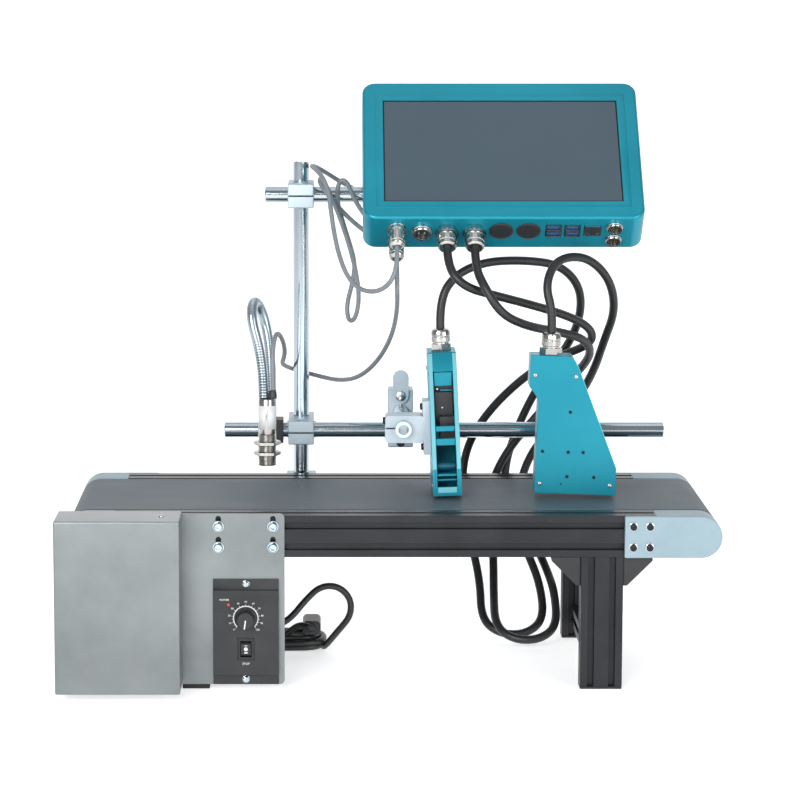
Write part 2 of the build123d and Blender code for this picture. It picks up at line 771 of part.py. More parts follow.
gooseneck_route = [(gooseneck_x, bar_y, 226), (gooseneck_x, bar_y, 262), (-117, 226, 300), (-123, 212, 333),
                   (-130, 186, 352), (-134, 156, 352), (-134, 124, 334), (-121.6, sensor_y, 304),
                   (-121.6, sensor_y, sensor_top)]


def bend_radii(points, name):
    """Each corner's radius: 0.45 of its shorter run, over the tangent of half its turn."""
    radii = []
    for a, b, c in zip(points, points[1:], points[2:]):
        before, after = Vector(*b) - Vector(*a), Vector(*c) - Vector(*b)
        turn = math.radians(before.get_angle(after))
        radii.append(0.45 * min(before.length, after.length) / math.tan(turn / 2))
    print(name, "radii", " ".join(f"{radius:.0f}" for radius in radii))
    return radii


def tube(points, radius, name):
    """A round tube of straight runs joined by tangent arcs."""
    path = FilletPolyline(*points, radius=bend_radii(points, name), close=False)
    section = Plane(path @ 0, z_dir=path % 0) * Circle(radius)
    solid = sweep(section, path=path)
    expected = math.pi * radius ** 2 * path.length
    print(name, "length", round(path.length), "volume share", round(solid.volume / expected, 4))
    return solid


def sensor():
    body = rod_z(sensor_radius, (sensor_bottom, sensor_top), sensor_x, sensor_y)
    nuts = [hex_z(24.0, (z - 2, z + 2), sensor_x, sensor_y)
            - rod_z(sensor_radius, (z - 5, z + 5), sensor_x, sensor_y) for z in sensor_nut_z]
    parts["sensor_body"] = Compound([body] + nuts)
    parts["gooseneck"] = tube(gooseneck_route, gooseneck_radius, "gooseneck")
    socket = block((gooseneck_x - 12, gooseneck_x + 12), (bar_y - 12, bar_y + 12),
                   (head_bar_z - 12, head_bar_z + 12))
    parts["gooseneck_clamp"] = socket - rod_x(rod_radius, (-200, 0), bar_y, head_bar_z)


# ---- free cords ----

# From the display's first gland, down behind the conveyor in a loop, to head 1.
umbilical_1_route = [
    (57.5, 125.05, 409.75), (57.5, 107.7, 391.8), (74, 100, 374), (104, 110, 365), (142, 134, 353),
    (183, 162, 338), (206, 186, 322), (206, 212, 304), (172, 234, 288), (140, 256, 264),
    (104, 266, 226), (82, 270, 186), (80, 266, 140), (88, 258, 98), (98, 240, 56), (98, 212, 21.3),
    (116.8, 198, 8.9), (143.2, 198, 8.9), (162, 212, 21.3), (160, 240, 52), (146, 256, 86),
    (130, 266, 122), (122, 274, 164), (138, 280, 212), (160, 272, 258), (184, 252, 294),
    (197, 230, 328), (196, 216, 362), (174, 204, 386), (136, 190, 392), (96, 172, 392),
    (66, 158, 380), (51.2, 152, 356), (52.2, 152, 328.2)]

# From the display's second gland, by the same way, to head 2.
umbilical_2_route = [
    (84.5, 125.05, 409.75), (84.5, 107.7, 391.8), (92, 88, 376), (108, 84, 350), (134, 104, 336),
    (166, 142, 326), (194, 166, 317), (206, 194, 300), (200, 226, 280), (184, 258, 258),
    (156, 262, 224), (126, 264, 188), (108, 262, 150), (110, 258, 112), (112, 246, 76),
    (111, 221.6, 47.2), (110.6, 185.6, 20.2), (129, 170.9, 9.2), (155, 170.9, 9.2),
    (173.4, 185.6, 20.2), (173.4, 221, 47), (168, 250, 64), (152, 272, 98), (138, 280, 136),
    (148, 284, 176), (174, 276, 212), (200, 258, 246), (212, 232, 276), (218, 200, 308),
    (228, 180, 344), (219, 160, 378), (194, 140, 401), (164, 122, 400), (152, 108, 376),
    (159.2, 104, 350), (158.5, 104, 330.1)]

# From the sensor's top, behind the post, to the display's rear left connector.
sensor_cable_route = [
    (-112.6, 100, 266), (-112.6, 100, 284), (-113, 102, 302), (-112, 108, 318), (-109, 124, 328),
    (-104, 147, 319), (-101.5, 172, 304), (-103, 204, 292), (-106, 238, 281), (-97, 279, 271),
    (-70, 290, 262), (-48, 266, 260), (-28, 228, 268), (-10, 194, 288), (4, 166, 316),
    (9.5, 142, 346), (8.5, 113.7, 376.3), (8.5, 134.5, 397.9)]

# From the front left connector, up behind the post and into the display's back.
display_lead_route = [
    (8.5, 120.8, 411.1), (8.5, 107, 396.8), (3, 104, 379), (-10, 114, 368), (-27, 128, 368),
    (-40, 142, 380), (-48, 156, 400), (-53, 170, 422), (-56, 182, 443), (-58, 191, 460),
    (-64, 204, 474), (-72, 224, 481), (-75.5, 244, 482), (-73, 263, 481), (-62, 278, 474),
    (-46, 287, 463), (-24, 284, 452), (-2, 272, 436), (15.8, 237, 416), (15.8, 200.8, 450.7)]

# A spare length that hangs beside the post, out of the display's back and in again.
spare_lead_route = [
    (45.8, 200.8, 450.7), (45.8, 222, 430.3), (30, 240, 412), (6, 238, 406), (-14, 226, 412),
    (-32, 220, 426), (-48, 217, 442), (-60, 217, 456), (-68, 217, 469), (-65, 210, 473),
    (-56, 209, 456), (-46, 207, 431), (-37, 208, 404), (-30, 211, 376), (-27, 215, 350),
    (-31, 219, 329), (-38, 225, 326), (-40, 230, 342), (-34, 232, 364), (-31, 231, 384),
    (-37, 226, 406), (-44, 221, 428), (-50, 215, 450), (-48, 210, 470), (-40, 208, 470),
    (-33, 211, 452), (-22, 217, 434), (-4, 228, 416), (14, 234, 408), (30.8, 226, 426.3),
    (30.8, 200.8, 450.7)]

# From the speed panel's back, in an upright loop, to the tied hank on the floor behind it.
power_cord_route = [
    (-125, 50, 50), (-125, 70, 50), (-120, 88, 42), (-108, 102, 39), (-95, 112, 45), (-82, 119, 60),
    (-67, 124, 74), (-49, 127, 74), (-36, 129, 61), (-36, 130, 43), (-48, 132, 28),
    (-66.5, 144.5, 13)]


def cords():
    for name, route, radius in (("umbilical_1", umbilical_1_route, umbilical_radius),
                                ("umbilical_2", umbilical_2_route, umbilical_radius),
                                ("sensor_cable", sensor_cable_route, lead_radius),
                                ("display_lead", display_lead_route, lead_radius),
                                ("spare_lead", spare_lead_route, lead_radius),
                                ("power_cord", power_cord_route, mains_radius)):
        parts[name] = tube(route, radius, name)
    middle = Plane(((hank_x[0] + hank_x[1]) / 2, (hank_y[0] + hank_y[1]) / 2, 0))
    width = hank_y[1] - hank_y[0]
    outline = RectangleRounded(hank_x[1] - hank_x[0], width, width / 2 * 0.98)
    parts["cord_hank"] = extrude(middle * outline, hank_height)
    plug_back = plug_front + plug_length
    plug = block((plug_left, plug_left + plug_width), (plug_front, plug_back),
                 (hank_height, hank_height + plug_height))
    plug = fillet(plug.edges().filter_by(Axis.Y), plug_edge)
    blade_z = hank_height + plug_height / 2
    for side in (-1, 1):
        x = plug_left + plug_width / 2 + side * blade_pitch / 2
        plug += block((x - blade_thickness / 2, x + blade_thickness / 2), (plug_back, plug_back + blade_length),
                      (blade_z - blade_width / 2, blade_z + blade_width / 2))
    parts["power_plug"] = plug


def write():
    os.makedirs("parts", exist_ok=True)
    for name, shape in parts.items():
        moved = Pos(0, -origin_back, 0) * shape
        moved.label = name
        export_step(moved, f"parts/{name}.step")
    print(len(parts), "nodes")


for make in (rails, belt_and_bed, end_blocks, frame_screws, rollers, legs, leg_brackets, rubber_feet,
             side_plate, drive_cover, gear_motor, drive_train, speed_panel, stand, print_heads, display,
             sensor, cords):
    make()
write()
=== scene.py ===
import json
import math

import bmesh
import bpy
from mathutils import Matrix, Vector


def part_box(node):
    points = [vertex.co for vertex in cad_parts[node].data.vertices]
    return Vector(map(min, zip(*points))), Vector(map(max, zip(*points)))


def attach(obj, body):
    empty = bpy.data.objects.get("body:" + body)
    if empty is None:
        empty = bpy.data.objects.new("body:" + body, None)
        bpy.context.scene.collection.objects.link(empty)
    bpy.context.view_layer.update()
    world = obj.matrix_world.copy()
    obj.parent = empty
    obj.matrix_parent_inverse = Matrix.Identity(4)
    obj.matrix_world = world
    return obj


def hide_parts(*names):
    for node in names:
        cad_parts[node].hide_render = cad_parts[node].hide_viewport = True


# A date code inkjet printer on a belt conveyor. Sizes here are in millimetres, laid out
# like the CAD part: Y is counted from the front rail's outer face, Z from the floor.
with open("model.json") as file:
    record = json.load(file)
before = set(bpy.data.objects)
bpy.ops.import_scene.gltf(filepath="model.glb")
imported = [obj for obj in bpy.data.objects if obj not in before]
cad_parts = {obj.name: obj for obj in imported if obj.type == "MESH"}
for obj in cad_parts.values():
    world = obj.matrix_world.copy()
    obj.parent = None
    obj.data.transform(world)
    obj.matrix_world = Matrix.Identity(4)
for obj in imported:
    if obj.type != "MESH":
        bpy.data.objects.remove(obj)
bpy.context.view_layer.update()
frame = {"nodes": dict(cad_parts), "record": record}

# The row's origin lies this far behind the front rail's outer face.
origin_back = -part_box("rail_front")[0].y * 1000
MM = 0.001


def at(x, y, z):
    """A point of the layout, in the row's frame in metres."""
    return Vector((x * MM, (y - origin_back) * MM, z * MM))


# ---- materials ----

def tree(name):
    material = bpy.data.materials.new(name)
    material.use_nodes = True
    nodes = material.node_tree.nodes
    return material, nodes, material.node_tree.links, nodes["Principled BSDF"]


def noise(nodes, links, scale, stretch=(1, 1, 1), detail=4.0, rough=0.55):
    """Noise over the object's own coordinates, stretched along an axis."""
    where = nodes.new("ShaderNodeTexCoord")
    shape = nodes.new("ShaderNodeMapping")
    shape.inputs["Scale"].default_value = stretch
    links.new(where.outputs["Object"], shape.inputs["Vector"])
    texture = nodes.new("ShaderNodeTexNoise")
    texture.inputs["Scale"].default_value = scale
    texture.inputs["Detail"].default_value = detail
    texture.inputs["Roughness"].default_value = rough
    links.new(shape.outputs["Vector"], texture.inputs["Vector"])
    return texture.outputs["Fac"]


def spread(nodes, links, source, low, high):
    """Maps a 0 to 1 value to a range."""
    node = nodes.new("ShaderNodeMapRange")
    node.inputs["From Min"].default_value = 0.3
    node.inputs["From Max"].default_value = 0.7
    node.inputs["To Min"].default_value = low
    node.inputs["To Max"].default_value = high
    links.new(source, node.inputs["Value"])
    return node.outputs["Result"]


def tinted(nodes, links, source, dark, light):
    ramp = nodes.new("ShaderNodeValToRGB")
    ramp.color_ramp.elements[0].position = 0.32
    ramp.color_ramp.elements[0].color = (*dark, 1)
    ramp.color_ramp.elements[1].position = 0.68
    ramp.color_ramp.elements[1].color = (*light, 1)
    links.new(source, ramp.inputs["Fac"])
    return ramp.outputs["Color"]


def bumped(nodes, links, shader, source, depth, strength=0.4):
    bump = nodes.new("ShaderNodeBump")
    bump.inputs["Strength"].default_value = strength
    bump.inputs["Distance"].default_value = depth
    links.new(source, bump.inputs["Height"])
    links.new(bump.outputs["Normal"], shader.inputs["Normal"])


def surface(name, dark, light, metal, rough, grain=900.0, blotch=25.0, depth=0.00003,
            stretch=(1, 1, 1), strength=0.35, coat=0.0):
    """A finish with a fine grain in its bump and slow blotches in its colour and gloss."""
    material, nodes, links, shader = tree(name)
    slow = noise(nodes, links, blotch, detail=5.0)
    fine = noise(nodes, links, grain, stretch)
    links.new(tinted(nodes, links, slow, dark, light), shader.inputs["Base Color"])
    links.new(spread(nodes, links, fine, rough[0], rough[1]), shader.inputs["Roughness"])
    shader.inputs["Metallic"].default_value = metal
    shader.inputs["Coat Weight"].default_value = coat
    bumped(nodes, links, shader, fine, depth, strength)
    return material


def belt_material():
    """A dark green-grey fabric face, with a fine weave of two crossed waves."""
    material, nodes, links, shader = tree("belt_fabric")
    where = nodes.new("ShaderNodeTexCoord")
    waves = []
    for direction in ("X", "Y"):
        wave = nodes.new("ShaderNodeTexWave")
        wave.bands_direction = direction
        wave.inputs["Scale"].default_value = 260.0
        wave.inputs["Distortion"].default_value = 0.6
        links.new(where.outputs["Object"], wave.inputs["Vector"])
        waves.append(wave.outputs["Fac"])
    weave = nodes.new("ShaderNodeMath")
    weave.operation = "MULTIPLY"
    links.new(waves[0], weave.inputs[0])
    links.new(waves[1], weave.inputs[1])
    slow = noise(nodes, links, 14.0, (1, 3, 1))
    color = tinted(nodes, links, slow, (0.068, 0.095, 0.112), (0.09, 0.122, 0.142))
    links.new(color, shader.inputs["Base Color"])
    links.new(spread(nodes, links, slow, 0.5, 0.62), shader.inputs["Roughness"])
    bumped(nodes, links, shader, weave.outputs["Value"], 0.00008, 0.3)
    return material


M = {
    "black_anodised": surface("black_anodised", (0.012, 0.013, 0.016), (0.02, 0.021, 0.025), 0.35, (0.3, 0.42)),
    "belt_fabric": belt_material(),
    "grey_paint": surface("grey_paint", (0.23, 0.32, 0.37), (0.27, 0.37, 0.42), 0.0, (0.38, 0.5), 1500, 30,
                          0.00004),
    "steel": surface("steel", (0.5, 0.5, 0.49), (0.62, 0.61, 0.6), 1.0, (0.22, 0.34), 1200, 60),
    "stainless": surface("stainless", (0.20, 0.22, 0.225), (0.29, 0.315, 0.32), 1.0, (0.27, 0.42), 420, 9,
                         0.00003, (14, 14, 0.6), 0.3),
    "motor_grey": surface("motor_grey", (0.05, 0.055, 0.06), (0.07, 0.075, 0.08), 0.1, (0.4, 0.5)),
    "rubber": surface("rubber", (0.008, 0.008, 0.008), (0.016, 0.016, 0.016), 0.0, (0.6, 0.78), 700, 40, 0.00006),
    "black_plastic": surface("black_plastic", (0.012, 0.013, 0.015), (0.02, 0.022, 0.025), 0.0, (0.38, 0.52), 1800,
                             40, 0.00003),
    "polished": surface("polished", (0.46, 0.54, 0.59), (0.56, 0.63, 0.68), 1.0, (0.10, 0.18), 500, 20, 0.00001,
                        (0.3, 6, 6), 0.15),
    "bare_aluminium": surface("bare_aluminium", (0.42, 0.5, 0.55), (0.5, 0.58, 0.64), 0.6, (0.4, 0.54), 1800, 30,
                              0.00005),
    "teal": surface("teal", (0.004, 0.235, 0.325), (0.008, 0.275, 0.37), 0.45, (0.3, 0.42), 2200, 12, 0.00003,
                    strength=0.25),
    # This lighter teal is painted light: a lit copy of the teal for the heads' upward-tilted front faces.
    "teal_painted_light": surface("teal_painted_light", (0.16, 0.52, 0.60), (0.2, 0.58, 0.66), 0.3, (0.3, 0.4), 2200, 12, 0.00003),
    "teal_dark": surface("teal_dark", (0.004, 0.085, 0.14), (0.006, 0.11, 0.17), 0.4, (0.3, 0.4), 2200, 12),
    "nickel": surface("nickel", (0.42, 0.41, 0.39), (0.55, 0.54, 0.52), 1.0, (0.14, 0.26), 900, 50, 0.00002),
    "screen_glass": surface("screen_glass", (0.03, 0.06, 0.085), (0.036, 0.068, 0.094), 0.0, (0.3, 0.36), 2400, 6,
                            0.000006, strength=0.1, coat=0.4),
    "grey_cable": surface("grey_cable", (0.17, 0.195, 0.215), (0.21, 0.235, 0.255), 0.0, (0.4, 0.52), 900, 60),
    "black_cable": surface("black_cable", (0.01, 0.011, 0.012), (0.018, 0.019, 0.02), 0.0, (0.36, 0.48), 900, 60),
    "white_print": surface("white_print", (0.75, 0.76, 0.76), (0.82, 0.82, 0.82), 0.0, (0.5, 0.6)),
    "label": surface("label", (0.62, 0.64, 0.64), (0.7, 0.71, 0.71), 0.0, (0.45, 0.55)),
    "blue_tongue": surface("blue_tongue", (0.01, 0.09, 0.32), (0.015, 0.12, 0.4), 0.0, (0.35, 0.45)),
    "dark_hole": surface("dark_hole", (0.002, 0.002, 0.002), (0.004, 0.004, 0.004), 0.0, (0.7, 0.8)),
    "red_lamp": surface("red_lamp", (0.6, 0.01, 0.01), (0.75, 0.02, 0.02), 0.0, (0.2, 0.3), coat=0.5),
    "gold": surface("gold", (0.6, 0.45, 0.2), (0.7, 0.52, 0.25), 1.0, (0.25, 0.35)),
}


# ---- mesh helpers ----

BODY_OF = {node: body for body, nodes in frame["record"]["behaviour"]["bodies"].items() for node in nodes}
SLOT_OF = {part["node"]: part["material_slot"] for part in frame["record"]["subparts"]}


def add_piece(name, mesh, body, material, replaces=(), bevel=0.0, smooth_angle=40.0):
    """Links a mesh as a piece that rides on a body, with an optional rounded edge."""
    obj = bpy.data.objects.new(name, mesh)
    bpy.context.scene.collection.objects.link(obj)
    if material:
        mesh.materials.clear()
        mesh.materials.append(M[material])
    if bevel:
        edge = obj.modifiers.new("edge", "BEVEL")
        edge.width = bevel * MM
        edge.segments = 2
        edge.limit_method = "ANGLE"
        edge.angle_limit = math.radians(35)
        edge.harden_normals = True
        edge.use_clamp_overlap = True
    mesh.polygons.foreach_set("use_smooth", [True] * len(mesh.polygons))
    mesh.set_sharp_from_angle(angle=math.radians(smooth_angle))
    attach(obj, body)
    if replaces:
        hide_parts(*replaces)
    return obj


def finished(node, bevel):
    """A CAD node's own shape with its edges broken, as a machined or moulded piece has."""
    source = frame["nodes"][node]
    mesh = source.data.copy()
    shape = bmesh.new()
    shape.from_mesh(mesh)
    bmesh.ops.remove_doubles(shape, verts=shape.verts, dist=0.000002)
    bmesh.ops.dissolve_limit(shape, angle_limit=math.radians(0.6), verts=shape.verts, edges=shape.edges)
    shape.to_mesh(mesh)
    shape.free()
    slot = SLOT_OF[node]
    return add_piece(node + "_finished", mesh, BODY_OF[node], slot, (node,), bevel)


def mesh_from(name, points, faces):
    mesh = bpy.data.meshes.new(name)
    mesh.from_pydata([tuple(p) for p in points], [], faces)
    shape = bmesh.new()
    shape.from_mesh(mesh)
    bmesh.ops.recalc_face_normals(shape, faces=shape.faces)
    shape.to_mesh(mesh)
    shape.free()
    return mesh


def rings_mesh(name, rings, closed_ends=True):
    """A skin over rings that hold the same number of points each."""
    count = len(rings[0])
    points = [p for ring in rings for p in ring]
    faces = []
    for r in range(len(rings) - 1):
        for i in range(count):
            j = (i + 1) % count
            faces.append((r * count + i, r * count + j, (r + 1) * count + j, (r + 1) * count + i))
    if closed_ends:
        faces.append(tuple(range(count)))
        faces.append(tuple((len(rings) - 1) * count + i for i in range(count)))
    return mesh_from(name, points, faces)


def turned(name, profile, place, sides=32, shape=None):
    """A body turned about place's Z axis from (radius, height) pairs in millimetres."""
    rings = []
    for index, (radius, height) in enumerate(profile):
        ring = []
        for i in range(sides):
            angle = 2 * math.pi * i / sides
            reach = radius * (shape(angle, index) if shape else 1.0)
            ring.append(place @ Vector((reach * math.cos(angle) * MM, reach * math.sin(angle) * MM, height * MM)))
        rings.append(ring)
    return rings_mesh(name, rings)


def hexagon(angle):
    """How far a unit hexagon reaches, for an inner radius of 1."""
    step = math.pi / 3
    return 1.0 / math.cos((angle % step) - step / 2)


def fluted(angle, count, depth):
    """Shallow grooves round a turned body, as many as count."""
    return 1.0 - depth * (math.cos(count * angle) > 0)


def rotation(axis, degrees):
    return Matrix.Rotation(math.radians(degrees), 4, axis)


def mesh_of_curve(curve):
    """The mesh that a curve or text makes, with nothing left in the scene."""
    holder = bpy.data.objects.new("curve", curve)
    bpy.context.scene.collection.objects.link(holder)
    mesh = bpy.data.meshes.new_from_object(holder)
    bpy.data.objects.remove(holder)
    return mesh


def thicken(obj, thickness, offset):
    solidify = obj.modifiers.new("thick", "SOLIDIFY")
    solidify.thickness = thickness * MM
    solidify.offset = offset


def slab(name, x, y, z, place=None):
    """A box between limits in millimetres, in the layout or in place's own axes."""
    corners = [(a, b, c) for a in x for b in y for c in z]
    if place is None:
        points = [at(*corner) for corner in corners]
    else:
        points = [place @ (Vector(corner) * MM) for corner in corners]
    faces = [(0, 1, 3, 2), (4, 6, 7, 5), (0, 4, 5, 1), (2, 3, 7, 6), (0, 2, 6, 4), (1, 5, 7, 3)]
    return mesh_from(name, points, faces)


def joined(name, meshes):
    shape = bmesh.new()
    for mesh in meshes:
        shape.from_mesh(mesh)
    whole = bpy.data.meshes.new(name)
    shape.to_mesh(whole)
    shape.free()
    return whole


def socket_screw(place, radius, height, socket):
    """A round head with a hexagon socket sunk in it, standing on place's XY plane."""

    def shape(angle, index):
        return hexagon(angle) if index >= 5 else 1.0

    profile = [(radius, 0), (radius, height * 0.55), (radius * 0.94, height * 0.82), (radius * 0.8, height),
               (socket * 1.35, height), (socket, height), (socket, height * 0.35)]
    return turned("screw", profile, place, 30, shape)


def cross_screw(place, radius, height):
    """A domed head with a cross cut in its top."""

    def shape(angle, index):
        if index < 4:
            return 1.0
        quarter = (angle % (math.pi / 2)) / (math.pi / 2)
        return 0.35 if 0.22 < quarter < 0.78 else 1.0

    profile = [(radius, 0), (radius, height * 0.4), (radius * 0.8, height * 0.85), (radius * 0.62, height),
               (radius * 0.55, height), (radius * 0.5, height * 0.45)]
    return turned("screw", profile, place, 32, shape)


# ---- camera, light and stage ----

def camera():
    """The viewpoint: a long lens, a little above, looking along +Y."""
    data = bpy.data.cameras.new("camera")
    data.lens = 135
    data.sensor_width = 36
    data.shift_x = 0.09375
    data.clip_end = 50
    obj = bpy.data.objects.new("camera", data)
    obj.location = at(-61.7, -2790, 683)
    obj.rotation_euler = (math.radians(90 - 8.25), 0, 0)
    bpy.context.scene.collection.objects.link(obj)
    bpy.context.scene.camera = obj


def area_light(name, place, aim, size, power):
    data = bpy.data.lights.new(name, "AREA")
    data.shape = "RECTANGLE"
    data.size, data.size_y = size
    data.energy = power
    obj = bpy.data.objects.new(name, data)
    obj.location = place
    obj.rotation_euler = (Vector(aim) - Vector(place)).to_track_quat("-Z", "Y").to_euler()
    bpy.context.scene.collection.objects.link(obj)


def stage():
    """A white floor that curves up into a backdrop."""
    front, back, radius, top = -6.0, 2.4, 1.2, 5.0
    line = [(front, 0.0), (back, 0.0)]
    steps = 12
    for i in range(1, steps + 1):
        angle = math.pi / 2 * i / steps
        line.append((back + radius * math.sin(angle), radius * (1 - math.cos(angle))))
    line.append((back + radius, top))
    points, faces = [], []
    for y, z in line:
        points += [Vector((-7, y, z)), Vector((7, y, z))]
    for i in range(len(line) - 1):
        faces.append((2 * i, 2 * i + 1, 2 * i + 3, 2 * i + 2))
    mesh = bpy.data.meshes.new("floor")
    mesh.from_pydata([tuple(p) for p in points], [], faces)
    material, nodes, links, shader = tree("floor")
    shader.inputs["Base Color"].default_value = (0.86, 0.86, 0.86, 1)
    shader.inputs["Roughness"].default_value = 0.7
    shader.inputs["Emission Color"].default_value = (1, 1, 1, 1)
    shader.inputs["Emission Strength"].default_value = 0.6
    mesh.materials.append(material)
    mesh.polygons.foreach_set("use_smooth", [True] * len(mesh.polygons))
    obj = bpy.data.objects.new("floor", mesh)
    bpy.context.scene.collection.objects.link(obj)


def lights():
    world = bpy.data.worlds.new("studio")
    world.use_nodes = True
    world.node_tree.nodes["Background"].inputs["Color"].default_value = (0.95, 0.97, 1.0, 1)
    world.node_tree.nodes["Background"].inputs["Strength"].default_value = 0.3
    bpy.context.scene.world = world
    area_light("key", (-1.0, -2.6, 1.15), (0, 0, 0.25), (1.5, 1.1), 60)
    area_light("fill", (1.7, -2.2, 0.8), (0, 0, 0.25), (1.2, 1.2), 28)
    area_light("top", (0, 0.1, 2.2), (0, 0, 0), (1.8, 1.6), 6)
    bpy.context.scene.view_settings.view_transform = "Standard"


camera()
lights()
stage()

# ---- free cords ----

# From the display's first gland, down behind the conveyor in a loop, to head 1.
umbilical_1_route = [
    (57.5, 125.05, 409.75), (57.5, 107.7, 391.8), (74, 100, 374), (104, 110, 365), (142, 134, 353),
    (183, 162, 338), (206, 186, 322), (206, 212, 304), (172, 234, 288), (140, 256, 264),
    (104, 266, 226), (82, 270, 186), (80, 266, 140), (88, 258, 98), (98, 240, 56), (98, 212, 21.3),
    (116.8, 198, 8.9), (143.2, 198, 8.9), (162, 212, 21.3), (160, 240, 52), (146, 256, 86),
    (130, 266, 122), (122, 274, 164), (138, 280, 212), (160, 272, 258), (184, 252, 294),
    (197, 230, 328), (196, 216, 362), (174, 204, 386), (136, 190, 392), (96, 172, 392),
    (66, 158, 380), (51.2, 152, 356), (52.2, 152, 328.2)]

# From the display's second gland, by the same way, to head 2.
umbilical_2_route = [
    (84.5, 125.05, 409.75), (84.5, 107.7, 391.8), (92, 88, 376), (108, 84, 350), (134, 104, 336),
    (166, 142, 326), (194, 166, 317), (206, 194, 300), (200, 226, 280), (184, 258, 258),
    (156, 262, 224), (126, 264, 188), (108, 262, 150), (110, 258, 112), (112, 246, 76),
    (111, 221.6, 47.2), (110.6, 185.6, 20.2), (129, 170.9, 9.2), (155, 170.9, 9.2),
    (173.4, 185.6, 20.2), (173.4, 221, 47), (168, 250, 64), (152, 272, 98), (138, 280, 136),
    (148, 284, 176), (174, 276, 212), (200, 258, 246), (212, 232, 276), (218, 200, 308),
    (228, 180, 344), (219, 160, 378), (194, 140, 401), (164, 122, 400), (152, 108, 376),
    (159.2, 104, 350), (158.5, 104, 330.1)]

# From the sensor's top, behind the post, to the display's rear left connector.
sensor_cable_route = [
    (-112.6, 100, 266), (-112.6, 100, 284), (-113, 102, 302), (-112, 108, 318), (-109, 124, 328),
    (-104, 147, 319), (-101.5, 172, 304), (-103, 204, 292), (-106, 238, 281), (-97, 279, 271),
    (-70, 290, 262), (-48, 266, 260), (-28, 228, 268), (-10, 194, 288), (4, 166, 316),
    (9.5, 142, 346), (8.5, 113.7, 376.3), (8.5, 134.5, 397.9)]

# From the front left connector, up behind the post and into the display's back.
display_lead_route = [
    (8.5, 120.8, 411.1), (8.5, 107, 396.8), (3, 104, 379), (-10, 114, 368), (-27, 128, 368),
    (-40, 142, 380), (-48, 156, 400), (-53, 170, 422), (-56, 182, 443), (-58, 191, 460),
    (-64, 204, 474), (-72, 224, 481), (-75.5, 244, 482), (-73, 263, 481), (-62, 278, 474),
    (-46, 287, 463), (-24, 284, 452), (-2, 272, 436), (15.8, 237, 416), (15.8, 200.8, 450.7)]

# A spare length that hangs beside the post, out of the display's back and in again.
spare_lead_route = [
    (45.8, 200.8, 450.7), (45.8, 222, 430.3), (30, 240, 412), (6, 238, 406), (-14, 226, 412),
    (-32, 220, 426), (-48, 217, 442), (-60, 217, 456), (-68, 217, 469), (-65, 210, 473),
    (-56, 209, 456), (-46, 207, 431), (-37, 208, 404), (-30, 211, 376), (-27, 215, 350),
    (-31, 219, 329), (-38, 225, 326), (-40, 230, 342), (-34, 232, 364), (-31, 231, 384),
    (-37, 226, 406), (-44, 221, 428), (-50, 215, 450), (-48, 210, 470), (-40, 208, 470),
    (-33, 211, 452), (-22, 217, 434), (-4, 228, 416), (14, 234, 408), (30.8, 226, 426.3),
    (30.8, 200.8, 450.7)]

# From the speed panel's back, in an upright loop, to the tied hank on the floor.
power_cord_route = [
    (-125, 50, 50), (-125, 70, 50), (-120, 88, 42), (-108, 102, 39), (-95, 112, 45), (-82, 119, 60),
    (-67, 124, 74), (-49, 127, 74), (-36, 129, 61), (-36, 130, 43), (-48, 132, 28),
    (-66.5, 144.5, 13)]

HANK_X = (-170.0, -60.0)
HANK_Y = (138.0, 194.0)
MAINS_RADIUS = 3.25
PLUG_MOUTH = (-75.0, 146.0, 27.0)


def hank_route():
    """The hank's turns on the floor: an outer stack that climbs, then an inner one that comes down."""
    x0, x1 = HANK_X[0] + MAINS_RADIUS, HANK_X[1] - MAINS_RADIUS
    y0, y1 = HANK_Y[0] + MAINS_RADIUS, HANK_Y[1] - MAINS_RADIUS
    points = []

    def turns(inset, low, rise, count, first=0):
        left, right, front, back = x0 + inset, x1 - inset, y0 + inset, y1 - inset
        radius = (back - front) / 2
        middle = (front + back) / 2
        corner = 0.42 * radius
        loop = [(right - radius * 1.3, front), (right - corner, front), (right, middle - corner),
                (right, middle + corner), (right - corner, back), (right - radius * 1.3, back),
                (left + radius * 1.3, back), (left + corner, back), (left, middle + corner),
                (left, middle - corner), (left + corner, front), (left + radius * 1.3, front)]
        steps = len(loop) * count
        for step in range(first, steps):
            x, y = loop[step % len(loop)]
            points.append((x, y, low + rise * step / steps))

    turns(0.0, MAINS_RADIUS + 0.2, 2 * 6.6, 3, 2)
    turns(7.0, MAINS_RADIUS + 13.2, -13.0, 3)
    points.extend([(-112, 148, 10), (-98, 150, 22), (-88, 143, 31), (-79, 136, 31), (-75, 136, 28), PLUG_MOUTH])
    return points


def cord(name, route, radius, body, slot, extra=()):
    """A free cord on one smooth line through its route's control points."""
    data = bpy.data.curves.new(name, "CURVE")
    data.dimensions = "3D"
    data.bevel_depth = radius * MM
    data.bevel_resolution = 5
    data.resolution_u = 10
    data.use_fill_caps = True
    spline = data.splines.new("NURBS")
    spline.points.add(len(route) - 1)
    for point, place in zip(spline.points, route):
        point.co = (*at(*place), 1)
    spline.order_u = 3
    spline.use_endpoint_u = True
    data.materials.append(M[slot])
    obj = bpy.data.objects.new(name + "_line", data)
    bpy.context.scene.collection.objects.link(obj)
    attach(obj, body)
    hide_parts(name, *extra)
    return obj


def cords():
    cord("umbilical_1", umbilical_1_route, 4.25, "conveyor", "black_cable")
    cord("umbilical_2", umbilical_2_route, 4.25, "conveyor", "black_cable")
    cord("sensor_cable", sensor_cable_route, 2.25, "conveyor", "grey_cable")
    cord("display_lead", display_lead_route, 2.25, "display", "grey_cable")
    cord("spare_lead", spare_lead_route, 2.25, "display", "grey_cable")
    plug = finished("power_plug", 1.0)
    cord("power_cord", power_cord_route[:-1] + hank_route(), 3.25, "conveyor",
         "black_cable", ("cord_hank",))


cords()


# ---- frame pieces ----

